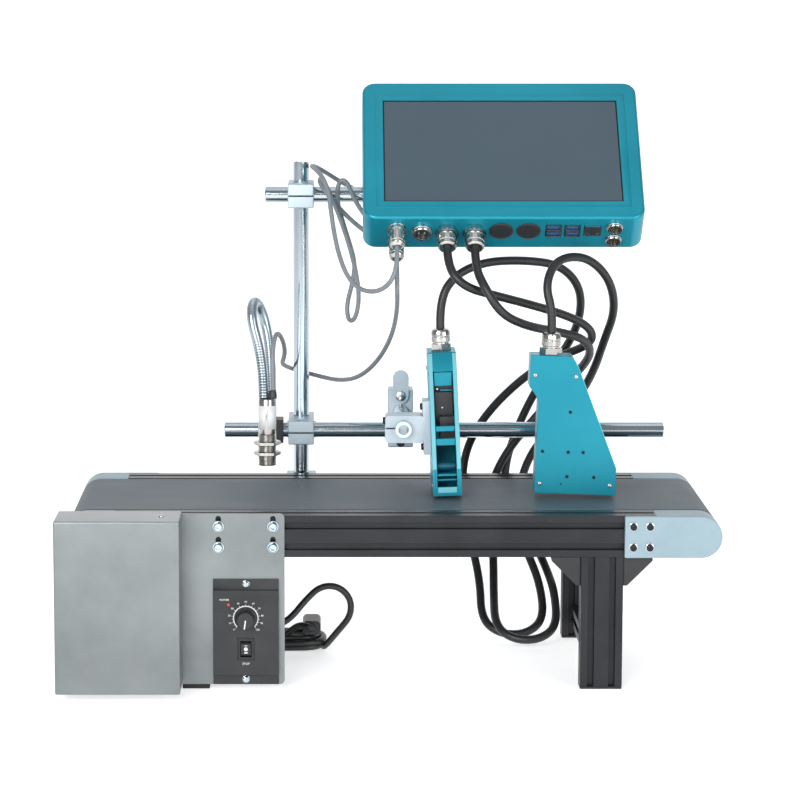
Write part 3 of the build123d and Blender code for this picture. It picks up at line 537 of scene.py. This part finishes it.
def frame_pieces():
    for node, width in (("rail_front", 0.35), ("rail_rear", 0.35), ("leg_profiles", 0.35), ("base_bars", 0.35),
                        ("roller_end_blocks", 1.2), ("leg_brackets", 0.9), ("rubber_feet", 0.8),
                        ("side_plate", 0.3), ("drive_cover", 0.35), ("gear_motor", 1.0), ("speed_panel", 0.5),
                        ("rocker_switch", 0.5), ("post_bracket", 0.8), ("gooseneck_clamp", 1.2),
                        ("lower_clamp", 0.3), ("upper_clamp", 0.3), ("display_tilt_clamp", 0.8),
                        ("display_rear_cover", 0.5), ("display_housing", 0.5)):
        finished(node, width)
    for number in (1, 2):
        for part, width in (("housing", 0.5), ("side_cover", 0.5), ("saddle", 0.3), ("lever", 1.0),
                            ("clamp", 0.8), ("contact_block", 0.6)):
            finished(f"head_{number}_{part}", width)
    for node in frame["nodes"]:
        mesh = frame["nodes"][node].data
        mesh.materials.clear()
        mesh.materials.append(M[SLOT_OF[node]])


frame_pieces()

# ---- print heads ----

# Each head's own axes: U to its front, Y through its thickness, V up. Both stand 2 degrees off.
HEAD_LEAN = 2
HEADS = {1: Matrix.Translation(at(43.7, 163, 171.3)) @ rotation("Y", -HEAD_LEAN) @ rotation("Z", -90),
         2: Matrix.Translation(at(142, 90, 174.057)) @ rotation("Y", HEAD_LEAN)}
HEAD_THICKNESS = 28.0
HEAD_FRONT = 79
SLOPE_LOW, SLOPE_HIGH, SLOPE_RUN = 26, 125, 41.5
COVER_SCREWS = ((-4, 115.6), (35.7, 115.4), (4.9, 9.3), (73.3, 9.5))
COVER_HOLES = ((31.7, 80.6), (6.3, 41.2), (31.4, 41.1), (46, 41.4), (31.2, 17.1), (57.4, 17.2))
SMALL_COVER_HOLE = (25.5, 9.5)
BLOCK_TOP = 97


def slope_u(v):
    """How far forward a head's front face stands at a height."""
    return HEAD_FRONT - max(0.0, v - SLOPE_LOW) * SLOPE_RUN / (SLOPE_HIGH - SLOPE_LOW)


def on_cover(place, u, v):
    """A place on a head's cover, looking out of it."""
    return place @ Matrix.Translation(Vector((u, 0, v)) * MM) @ rotation("X", 90)


def inside_head(place, u, y, v):
    return place @ Matrix.Translation(Vector((u, y, v)) * MM)


# A thin black disc on the surface: painted shade where a hole stands.
def painted_hole_shade(place, radius, sides):
    return turned("hole", [(0.1, 0), (radius, 0), (radius, 0.25), (0.1, 0.12)], place, sides)


def painted_light_strip(place, sides):
    """A thin strip along a head's sloped front edge, between two distances through the head, that carries painted
    light.
    """
    outline = [(slope_u(v) + 0.15, v) for v in (26.5, 124.5)] + [(32.2, 134.2)]
    points = [place @ (Vector((u + lift, side, v)) * MM)
              for side in sides for u, v in outline for lift in (-0.6, 0.2)]
    count = len(outline) * 2
    faces = []
    for i in range(len(outline) - 1):
        a, b, c, d = 2 * i, 2 * i + 1, 2 * i + 3, 2 * i + 2
        faces += [(a, b, c, d), (a + count, d + count, c + count, b + count),
                  (b, b + count, c + count, c), (a, d, d + count, a + count)]
    faces += [(0, count, count + 1, 1), (count - 2, count - 1, 2 * count - 1, 2 * count - 2)]
    return mesh_from("edge", points, faces)


def head_cover(number):
    place, body = HEADS[number], f"head_{number}"
    screws = [cross_screw(on_cover(place, u, v), 2.1, 1.1) for u, v in COVER_SCREWS]
    add_piece(f"head_{number}_cover_screws", joined("screws", screws), body, "steel")
    # The cover's holes are black discs, painted shade in place of their depth.
    holes = [painted_hole_shade(on_cover(place, u, v), 1.7, 20) for u, v in COVER_HOLES]
    holes.append(painted_hole_shade(on_cover(place, *SMALL_COVER_HOLE), 0.9, 16))
    add_piece(f"head_{number}_cover_hole_shade", joined("holes", holes), body, "dark_hole")


def head_front(number):
    """What shows in the open front: edges in painted light, latch, bars, roller and contact block."""
    place, body = HEADS[number], f"head_{number}"
    # The sloped edge strips and the foot are in the lighter teal: painted light, as if the upward-tilted faces caught
    # more of the lamps.
    bright = [painted_light_strip(place, (0.2, 4.2)), painted_light_strip(place, (24.0, 27.8)),
              slab("foot", (76.0, 79.3), (5.0, 23.0), (3.4, 8.8), place)]
    add_piece(f"head_{number}_front_painted_light", joined("frame", bright), body, "teal_painted_light", bevel=0.15)

    bay = (4.7, 23.3)
    bars = [slab("latch", (slope_u(112) - 12, slope_u(112) - 2.5), (5.4, 22.6), (103, 116.4), place),
            slab("bar", (slope_u(64) - 8, slope_u(64) - 2), bay, (61, 66), place),
            slab("bar", (slope_u(52) - 8, slope_u(52) - 2), bay, (48, 54.5), place),
            slab("bar", (66, 76), bay, (19.2, 21.4), place),
            slab("bar", (66, 74), bay, (14.4, 16.0), place),
            slab("pin", (slope_u(98) - 9, slope_u(98) - 7), (11, 22.6), (98.2, 99.4), place)]
    add_piece(f"head_{number}_latch_and_bars", joined("inside", bars), body, "teal", bevel=0.3)

    roller = [(0.5, 0), (3.6, 0), (4.2, 0.5), (4.2, 18), (3.6, 18.5), (0.5, 18.5)]
    mesh = turned("roller", roller, inside_head(place, 63, 4.75, 27) @ rotation("X", -90), 28)
    add_piece(f"head_{number}_pressure_roller", mesh, body, "teal_dark", bevel=0.1)

    face = slope_u(BLOCK_TOP) - 7
    contact = [slab("block", (30.0, face), (5.2, 22.8), (66.4, BLOCK_TOP), place),
               slab("back", (slope_u(BLOCK_TOP) - 12.5, slope_u(BLOCK_TOP) - 12.2), (4.6, 23.4), (66, 103), place)]
    add_piece(f"head_{number}_contact_face", joined("contact", contact), body, "black_plastic",
              (f"head_{number}_contact_block",), bevel=0.5)

    arc = [(1.7 * math.sin(math.radians(a)) + 0.01, -1.7 * math.cos(math.radians(a))) for a in range(0, 181, 15)]
    ball = turned("ball", arc, inside_head(place, slope_u(100) - 7, 8.0, 100), 20)
    dot = turned("dot", [(0.05, 0), (1.1, 0), (0.9, 0.5), (0.05, 0.6)],
                 inside_head(place, face, 12.5, 82) @ rotation("Y", 90), 16)
    add_piece(f"head_{number}_detent_ball", joined("ball", [ball, dot]), body, "polished")


def head_glands():
    """The ribbed metal glands on the heads: a hexagon foot under a fluted cap."""
    profile = [(4.4, 0), (9.9, 0), (9.9, 6.5), (8.2, 6.6), (8.2, 8.2), (9.4, 8.6), (9.4, 13), (9.0, 13.3), (9.0, 14),
               (9.4, 14.3), (9.4, 18), (8.3, 20.4), (6.2, 21.5), (4.4, 21.5), (4.4, 19)]

    def shape(angle, index):
        if index in (1, 2):
            return hexagon(angle) * 0.965
        return fluted(angle, 18, 0.02) if index in (5, 6, 9, 10) else 1.0

    for number in (1, 2):
        place = inside_head(HEADS[number], 11.0, HEAD_THICKNESS / 2, 135.0)
        add_piece(f"head_{number}_gland_turned", turned("gland", profile, place, 72, shape), f"head_{number}",
                  "nickel", (f"head_{number}_gland",), bevel=0.15)


# ---- display ----

DISPLAY = Matrix.Translation(at(-24.2, 126, 439.5)) @ rotation("X", -44)
WINDOW_X, WINDOW_Z = (20.4, 254.6), (21.0, 152.0)
WINDOW_MIDDLE = (137, 88)
CONNECTOR_Y = 20
GLAND_XS = (81.7, 108.7)
PLUG_X, PLUG_YS = 32.7, (16.0, 35.0)
ROUND_SOCKETS = ((57.2, 20, 10.0, 5.5), (245.7, 14, 8.0, 4.5), (245.7, 33, 8.0, 4.5))
CAP_XS = (135.0, 161.8)
USB_XS, RJ45_X = (186.1, 204.7), 224.5


def below(x, y):
    """A place on the display's underside, looking down out of it."""
    return DISPLAY @ Matrix.Translation(Vector((x, y, 0.0)) * MM) @ rotation("X", 180)


def screen():
    (x0, x1), (z0, z1) = WINDOW_X, WINDOW_Z
    gap, line, y = 0.3, 1.2, (0.85, 1.3)
    glass = slab("glass", (x0 + gap, x1 - gap), (1.0, 4.0), (z0 + gap, z1 - gap), DISPLAY)
    add_piece("display_glass", glass, "display", "screen_glass", ("display_screen",), bevel=0.3)
    lines = [slab("line", (x0, x1), y, (z0, z0 + line), DISPLAY), slab("line", (x0, x1), y, (z1 - line, z1), DISPLAY),
             slab("line", (x0, x0 + line), y, (z0, z1), DISPLAY), slab("line", (x1 - line, x1), y, (z0, z1), DISPLAY)]
    add_piece("display_screen_edge", joined("lines", lines), "display", "dark_hole")


def window_step():
    """The soft raised step round the window, a frame of four rings."""
    (x0, x1), (z0, z1) = WINDOW_X, WINDOW_Z
    m = 8.0
    ring = [(x0 - m, z0 - m), (x1 + m, z0 - m), (x1 + m, z1 + m), (x0 - m, z1 + m)]
    points, faces = [], []
    for grow, y in ((0.0, 0.05), (-0.7, -0.35), (-m + 1.2, -0.35), (-m + 0.2, 0.05)):
        for x, z in ring:
            sx = -1 if x < WINDOW_MIDDLE[0] else 1
            sz = -1 if z < WINDOW_MIDDLE[1] else 1
            points.append(DISPLAY @ (Vector((x + sx * grow, y, z + sz * grow)) * MM))
    for r in range(3):
        for i in range(4):
            j = (i + 1) % 4
            faces.append((4 * r + i, 4 * r + j, 4 * r + 4 + j, 4 * r + 4 + i))
    for i in range(4):
        faces.append((12 + i, 12 + (i + 1) % 4, (i + 1) % 4, i))
    add_piece("display_window_step", mesh_from("step", points, faces), "display", "teal")


def connector_shells():
    gland = [(4.3, 0), (10.2, 0), (10.4, 0.4), (10.4, 7), (8.6, 7.2), (8.6, 9), (9.8, 9.3), (9.8, 15.5), (9.0, 16),
             (9.0, 16.8), (9.6, 17.2), (9.4, 20.5), (7.6, 22), (4.3, 22), (4.3, 20)]
    plug = [(2.3, 0), (9.0, 0), (9.0, 1.2), (8.2, 1.6), (8.2, 4.2), (9.0, 4.6), (9.0, 5.4), (7.2, 6), (7.2, 13),
            (7.6, 13.3), (7.6, 18), (7.0, 18.4), (7.2, 19.2), (7.2, 21), (5.6, 23), (4.2, 24), (2.3, 24)]

    def ribbed(angle, index):
        if index in (2, 3):
            return hexagon(angle) * 0.96
        return fluted(angle, 16, 0.03) if index in (6, 7) else 1.0

    def knurled(angle, index):
        return fluted(angle, 20, 0.035) if index in (7, 8, 9, 10) else 1.0

    shells = [turned("gland", gland, below(x, CONNECTOR_Y), 64, ribbed) for x in GLAND_XS]
    shells += [turned("plug", plug, below(PLUG_X, y), 60, knurled) for y in PLUG_YS]
    for x, y, r, depth in ROUND_SOCKETS:
        rim = [(r * 0.62, 0.5), (r * 0.62, 1.2), (r, 0), (r, depth * 0.4), (r * 0.93, depth * 0.5),
               (r * 0.97, depth * 0.8), (r * 0.9, depth), (r * 0.68, depth), (r * 0.66, 1.4)]
        shells.append(turned("rim", rim, below(x, y), 48))
    add_piece("display_connector_shells", joined("shells", shells), "display", "nickel", ("display_connectors",),
              bevel=0.1)


def socket_pins():
    """Two pins in the wide socket and six in each small one."""
    pins = []
    for number, (x, y, _, _) in enumerate(ROUND_SOCKETS):
        reach, radius, step = (3, 1.0, 180) if number == 0 else (2.9, 0.55, 60)
        for angle in range(0, 360, step):
            lean = math.radians(angle)
            up = reach * math.sin(lean) if number else 0.0
            pins.append((x + reach * math.cos(lean), y + up, radius))
    rods = [turned("pin", [(0.05, 1.8), (r, 1.8), (r, 3.2), (r * 0.6, 3.7), (0.05, 3.7)], below(x, y), 12)
            for x, y, r in pins]
    add_piece("display_socket_pins", joined("pins", rods), "display", "gold")


def ports():
    """Two double USB ports and a network port, with the flat faces of the other sockets."""
    rims, tongues, faces = [], [], []
    for x in USB_XS:
        faces.append(slab("face", (x - 7.4, x + 7.4), (CONNECTOR_Y - 8.6, CONNECTOR_Y + 8.6), (-0.5, 1.0), DISPLAY))
        for y in (CONNECTOR_Y - 4.6, CONNECTOR_Y + 4.6):
            for a, b, c, d in ((-6.6, 6.6, -3.9, -3.3), (-6.6, 6.6, 3.3, 3.9), (-6.6, -6.0, -3.9, 3.9),
                               (6.0, 6.6, -3.9, 3.9)):
                rims.append(slab("rim", (x + a, x + b), (y + c, y + d), (-1.1, 0.4), DISPLAY))
            tongues.append(slab("tongue", (x - 5.2, x + 5.2), (y - 1.9, y + 0.1), (-0.9, 0.5), DISPLAY))
    x, y, half, tall = RJ45_X, CONNECTOR_Y, 8.2, 7.3
    for low, high in ((-tall, -6.4), (6.4, tall)):
        rims.append(slab("rim", (x - half, x + half), (y + low, y + high), (-1.0, 0.4), DISPLAY))
    for low, high in ((-half, 0.8 - half), (half - 0.8, half)):
        rims.append(slab("rim", (x + low, x + high), (y - tall, y + tall), (-1.0, 0.4), DISPLAY))
    faces.append(slab("port", (x - 7.2, x + 7.2), (13.8, 26.2), (-0.5, 1.0), DISPLAY))
    for low, high in ((-7.0, -3.5), (3.5, 7.0)):
        rims.append(slab("tab", (x + low, x + high), (23.6, 26.0), (-0.8, 0.0), DISPLAY))
    add_piece("display_port_rims", joined("rims", rims), "display", "polished", bevel=0.1)
    add_piece("display_port_tongues", joined("tongues", tongues), "display", "blue_tongue")
    for x, y, r, _ in ROUND_SOCKETS:
        faces.append(turned("core", [(0.05, 0), (r * 0.66, 0), (r * 0.66, 1.9), (0.05, 1.9)], below(x, y), 40))
    cap = [(0.1, 0), (12.0, 0), (12.0, 0.8), (11.2, 1.4), (9.0, 1.6), (0.1, 1.6)]
    faces += [turned("cap", cap, below(x, CONNECTOR_Y), 48) for x in CAP_XS]
    add_piece("display_port_faces", joined("faces", faces), "display", "black_plastic", ("display_sockets",))


# ---- speed panel ----

PANEL_FACE = -9.0
DIAL_X, DIAL_Z = -136.7, 71.0
DIAL_START, DIAL_SWEEP, DIAL_REACH = 225.0, -270.0, 11.6
SWITCH_Z = 41
POINTER_LEAN = 8


def front_place(x, y, z):
    """A place on a face that looks along -Y."""
    return Matrix.Translation(at(x, y, z)) @ rotation("X", 90)


def lettering(text, x, z, size):
    """Raised print on the panel's face."""
    curve = bpy.data.curves.new("text", "FONT")
    curve.body = text
    curve.size = size * MM
    curve.align_x = "CENTER"
    curve.align_y = "CENTER"
    curve.resolution_u = 2
    curve.extrude = 0.05 * MM
    mesh = mesh_of_curve(curve)
    mesh.transform(front_place(x, PANEL_FACE - 0.06, z))
    return mesh


def dial_arc():
    steps = 54
    points, faces = [], []
    for i in range(steps + 1):
        angle = math.radians(DIAL_START + DIAL_SWEEP * i / steps)
        for r in (DIAL_REACH - 0.45, DIAL_REACH + 0.45):
            for y in (PANEL_FACE - 0.12, PANEL_FACE + 0.05):
                points.append(at(DIAL_X + r * math.cos(angle), y, DIAL_Z + r * math.sin(angle)))
    for i in range(steps):
        a = 4 * i
        faces += [(a, a + 4, a + 6, a + 2), (a + 1, a + 3, a + 7, a + 5), (a, a + 1, a + 5, a + 4),
                  (a + 2, a + 6, a + 7, a + 3)]
    faces += [(0, 2, 3, 1), (4 * steps, 4 * steps + 1, 4 * steps + 3, 4 * steps + 2)]
    return mesh_from("arc", points, faces)


def panel_print():
    """The dial's arc, its ticks and numbers, and two generic words."""
    marks = [dial_arc()]
    centre = Matrix.Translation(at(DIAL_X, PANEL_FACE, DIAL_Z))
    for i in range(21):
        angle = math.radians(DIAL_START + DIAL_SWEEP * i / 20)
        length = 2.0 if i % 2 == 0 else 1.5
        marks.append(slab("tick", (DIAL_REACH + 0.4, DIAL_REACH + length), (-0.12, 0.05), (-0.14, 0.14),
                          centre @ Matrix.Rotation(-angle, 4, "Y")))
    for i in range(11):
        angle = math.radians(DIAL_START + DIAL_SWEEP * i / 10)
        reach = DIAL_REACH + 4.2
        marks.append(lettering(str(10 * i), DIAL_X + reach * math.cos(angle), DIAL_Z + reach * math.sin(angle), 2.5))
    marks.append(lettering("POWER", -157.0, 88.6, 2.6))
    marks.append(lettering("STOP", DIAL_X, 26.8, 2.9))
    add_piece("panel_print", joined("print", marks), "conveyor", "white_print")


def panel_lamp_and_switch():
    lamp = [(0.05, 0), (1.5, 0), (1.5, 0.5), (1.1, 1.2), (0.05, 1.5)]
    add_piece("panel_power_lamp", turned("lamp", lamp, front_place(-153, PANEL_FACE, 84), 24), "conveyor", "red_lamp")
    rim = [slab("rim", (DIAL_X + a, DIAL_X + b), (PANEL_FACE - 1.0, PANEL_FACE + 0.2), (SWITCH_Z + c, SWITCH_Z + d))
           for a, b, c, d in ((-8, 8, -10.7, -9.6), (-8, 8, 9.6, 10.7), (-8, -6.9, -10.7, 10.7),
                              (6.9, 8, -10.7, 10.7))]
    add_piece("panel_switch_rim", joined("rim", rim), "conveyor", "black_plastic", bevel=0.3)
    dash = (DIAL_X - 1.6, DIAL_X + 1.6)
    marks = [slab("dash", dash, (-11.12, -10.7), (44.6, 45.0)), slab("dash", dash, (-11.12, -10.7), (37.4, 38.4)),
             turned("ring", [(0.9, 0.0), (1.8, 0.0), (1.8, 0.15), (0.9, 0.15)], front_place(DIAL_X, -10.95, 41.4), 24)]
    add_piece("rocker_marks", joined("marks", marks), "rocker", "white_print")


def speed_knob():
    def ridged(angle, index):
        return fluted(angle, 24, 0.05) if index in (4, 5) else 1.0

    knob = [(0.1, 0), (11.0, 0), (11.0, 1.6), (9.6, 2.6), (8.6, 3.4), (8.2, 12.0), (7.6, 13.0), (0.1, 13.0)]
    add_piece("speed_knob_ridged", turned("knob", knob, front_place(DIAL_X, -9.3, DIAL_Z), 96, ridged), "knob",
              "black_plastic", ("speed_knob",), bevel=0.15)
    lines = [slab("pointer", x, y, z, Matrix.Translation(at(DIAL_X, front, DIAL_Z)) @ rotation("Y", POINTER_LEAN))
             for x, y, z, front in (((-0.5, 0.5), (-0.15, 0.3), (-8.0, 0.5), -22.3),
                                    ((-0.4, 0.4), (-0.12, 0.3), (-10.8, -9.8), -10.9))]
    add_piece("speed_knob_pointer", joined("pointer", lines), "knob", "white_print")


# ---- fasteners ----

PLATE_BOLT_XS, BLOCK_BOLT_XS, REAR_LEFT_XS = (-162.6, -110.9), (229.7, 245.3), (-239.7, -255.3)
BOLT_ZS = (158.0, 138.0)
FLANGE_SCREW_ZS = (11.0, 102.9)
FRONT_BLOCK_Y, REAR_BLOCK_Y = -5.0, 245.0


def washer(place, radius, hole, height):
    profile = [(hole, 0), (radius, 0), (radius, height * 0.7), (radius - 0.3, height), (hole, height)]
    return turned("washer", profile, place, 32)


def frame_screws():
    """Every screw of the frame, on the faces where the CAD part has plain heads."""
    bright, dark, slots = [], [], []

    def block_bolt(x, y, z):
        turn = rotation("Z", 180) if y == REAR_BLOCK_Y else Matrix.Identity(4)
        place = Matrix.Translation(at(x, y, z)) @ turn @ rotation("X", 90)
        bright.append(washer(place, 4.2, 2.4, 0.6))
        dark.append(socket_screw(place @ Matrix.Translation((0, 0, 0.6 * MM)), 3.4, 1.8, 1.6))

    for x in PLATE_BOLT_XS:
        for z in BOLT_ZS:
            bright.append(washer(front_place(x, -2, z), 5.6, 3.0, 1.2))
            bright.append(socket_screw(front_place(x, -3.2, z), 4.4, 5.0, 2.0))
            # A black strip with a round end above each bolt: painted shade where the side plate's slot stands.
            slots.append(slab("slot", (x - 2.6, x + 2.6), (-2.08, -1.9), (z, z + 7.6)))
            slots.append(turned("slot", [(0.1, 0), (2.6, 0), (2.6, 0.08), (0.1, 0.08)],
                                front_place(x, -2, z + 7.6), 24))
    for z in FLANGE_SCREW_ZS:
        bright.append(washer(front_place(DIAL_X, -5, z), 3.6, 2.0, 0.5))
        bright.append(cross_screw(front_place(DIAL_X, -5.5, z), 3.3, 1.8))
    for z in BOLT_ZS:
        for x in BLOCK_BOLT_XS:
            block_bolt(x, FRONT_BLOCK_Y, z)
            block_bolt(x, REAR_BLOCK_Y, z)
        for x in REAR_LEFT_XS:
            block_bolt(x, REAR_BLOCK_Y, z)
    bright.append(cross_screw(Matrix.Translation(at(-215, -28, 172.4)), 2.6, 1.4))
    add_piece("frame_screws_bright", joined("bright", bright), "conveyor", "polished", ("frame_screws",))
    add_piece("frame_screws_dark", joined("dark", dark), "conveyor", "black_anodised")
    add_piece("side_plate_slot_shade", joined("slots", slots), "conveyor", "dark_hole")


def clamp_screws():
    """Socket screws in the split clamps of the stand and of the heads."""
    for node, body, z in (("lower_clamp", "bar_carriage", 214), ("upper_clamp", "display_carriage", 454)):
        screws = [socket_screw(Matrix.Translation(at(-86, 218, z + 7.0)), 3.8, 3.2, 1.9)]
        for side in (-1, 1):
            place = Matrix.Translation(at(-86 + side * 13, 271, z)) @ rotation("Y", 90 * side)
            screws.append(socket_screw(place, 3.2, 2.2, 1.6))
        add_piece(node + "_screws", joined("screws", screws), body, "black_anodised")
    boss = [(0.1, 0), (4.6, 0), (5.2, 0.4), (5.2, 1.2), (4.4, 1.8), (0.1, 1.8)]
    for number, x in ((1, 15.0), (2, 182.0)):
        add_piece(f"head_{number}_saddle_screw", socket_screw(front_place(x, 219.1, 203.0), 4.2, 2.6, 2.2),
                  f"head_{number}_saddle", "black_anodised")
        add_piece(f"head_{number}_lever_hub", turned("cap", boss, front_place(x, 213.8, 251.5), 32),
                  f"head_{number}_lever", "steel")
    plate = [socket_screw(inside_head(HEADS[1], 38, -7, v) @ rotation("X", 90), 3.4, 2.4, 1.7) for v in (83, 43)]
    add_piece("head_1_plate_screws", joined("screws", plate), "head_1", "black_anodised")
    casting = socket_screw(Matrix.Translation(at(-2.6, 125, 240)) @ rotation("Y", -90), 3.6, 2.4, 1.8)
    add_piece("head_1_casting_screw", casting, "head_1", "black_anodised")


# ---- sensor ----

SENSOR = Matrix.Translation(at(-118.0, 100.0, 200))


def sensor():
    threads, height = [], 1.2
    while height < 31:
        threads += [(8.95, height), (8.35, height + 0.5)]
        height += 1.0
    profile = [(0.1, 0.6), (6.4, 0.6), (6.8, 0.0), (8.4, 0.0), (8.9, 0.6), *threads,
               (8.6, 31.6), (8.6, 64.5), (8.0, 65.6), (3.0, 66.0), (0.1, 66.0)]
    add_piece("sensor_threaded_body", turned("tube", profile, SENSOR, 48), "bar_carriage", "nickel",
              ("sensor_body",), smooth_angle=30)
    nuts = []
    for z in (12.0, 22.0):
        nut = [(8.9, z - 2), (11.2, z - 2), (11.9, z - 1.4), (11.9, z + 1.4), (11.2, z + 2), (8.9, z + 2)]
        nuts.append(turned("nut", nut, SENSOR, 60,
                           lambda angle, index: min(1.13, hexagon(angle)) if index in (2, 3) else 1.0))
    add_piece("sensor_nuts", joined("nuts", nuts), "bar_carriage", "nickel", bevel=0.1)
    sensor_label()
    lens = turned("lens", [(0.1, -0.2), (6.2, -0.2), (6.4, 0.5), (0.1, 0.6)], SENSOR, 32)
    add_piece("sensor_lens", lens, "bar_carriage", "black_plastic")
    relief = turned("relief", [(2.3, 0), (4.2, 0), (4.0, 4), (3.2, 7.5), (2.3, 8)],
                    Matrix.Translation(at(-112.6, 100, 266)), 28)
    add_piece("sensor_cable_relief", relief, "bar_carriage", "black_plastic")


def sensor_label():
    """A blank label in two patches round the sensor."""
    points, faces, steps = [], [], 12
    for low, high in ((-128, -70), (-58, 40)):
        base = len(points)
        for i in range(steps + 1):
            angle = math.radians(low - 30 + (high - low) * i / steps)
            for z in (36, 59):
                points.append(SENSOR @ (Vector((8.72 * math.cos(angle), 8.72 * math.sin(angle), z)) * MM))
        for i in range(steps):
            a = base + 2 * i
            faces.append((a, a + 2, a + 3, a + 1))
    label = add_piece("sensor_label", mesh_from("label", points, faces), "bar_carriage", "label")
    thicken(label, 0.12, 1)


gooseneck_route = [(-116, 233, 226), (-116, 233, 262), (-117, 226, 300), (-123, 212, 333),
                   (-130, 186, 352), (-134, 156, 352), (-134, 124, 334), (-121.6, 100, 304),
                   (-121.6, 100, 266)]


def centre_line(name, route):
    """Points along a route's smooth line."""
    data = bpy.data.curves.new(name, "CURVE")
    data.dimensions = "3D"
    data.resolution_u = 24
    spline = data.splines.new("NURBS")
    spline.points.add(len(route) - 1)
    for point, place in zip(spline.points, route):
        point.co = (*at(*place), 1)
    spline.order_u = 4
    spline.use_endpoint_u = True
    return [v.co.copy() for v in mesh_of_curve(data).vertices]


def gooseneck():
    """A corrugated metal hose: four rings to a rib along the line."""
    line = centre_line("gooseneck_line", gooseneck_route)
    lengths = [0.0]
    for a, b in zip(line, line[1:]):
        lengths.append(lengths[-1] + (b - a).length)
    pitch, rib, sides = 0.0026, (4.45, 5.15, 5.3, 5.0), 20
    count = int(lengths[-1] / pitch) * len(rib)
    rings = []
    side = Vector((1, 0, 0))
    index = 0
    for step in range(count + 1):
        distance = lengths[-1] * step / count
        while index < len(lengths) - 2 and lengths[index + 1] < distance:
            index += 1
        share = (distance - lengths[index]) / max(1e-9, lengths[index + 1] - lengths[index])
        centre = line[index].lerp(line[index + 1], share)
        forward = (line[index + 1] - line[index]).normalized()
        side = (side - forward * side.dot(forward)).normalized()
        up = forward.cross(side)
        radius = rib[step % len(rib)] * MM
        rings.append([centre + (side * math.cos(a) + up * math.sin(a)) * radius
                      for a in (2 * math.pi * i / sides for i in range(sides))])
    add_piece("gooseneck_hose", rings_mesh("hose", rings), "bar_carriage", "polished", ("gooseneck",),
              smooth_angle=70)


def hank_tie():
    """A plain tie round the hank's middle, a rounded rectangle."""
    y0, y1, top, sides = 137.6, 194.4, 22.6, 28

    def rounded(value):
        return abs(value) ** 0.5 * (1 if value > 0 else -1)

    rings = []
    for x in (-118.0, -112.0):
        angles = [2 * math.pi * i / sides for i in range(sides)]
        rings.append([at(x, (y0 + y1) / 2 + (y1 - y0) / 2 * rounded(math.cos(a)),
                         top / 2 + top / 2 * rounded(math.sin(a)) + 0.2) for a in angles])
    tie = add_piece("cord_hank_tie", rings_mesh("tie", rings, False), "conveyor", "black_plastic")
    thicken(tie, 1.0, -1)


for number in (1, 2):
    head_cover(number)
    head_front(number)
head_glands()
screen()
window_step()
connector_shells()
socket_pins()
ports()
panel_print()
panel_lamp_and_switch()
speed_knob()
frame_screws()
clamp_screws()
sensor()
gooseneck()
hank_tie()
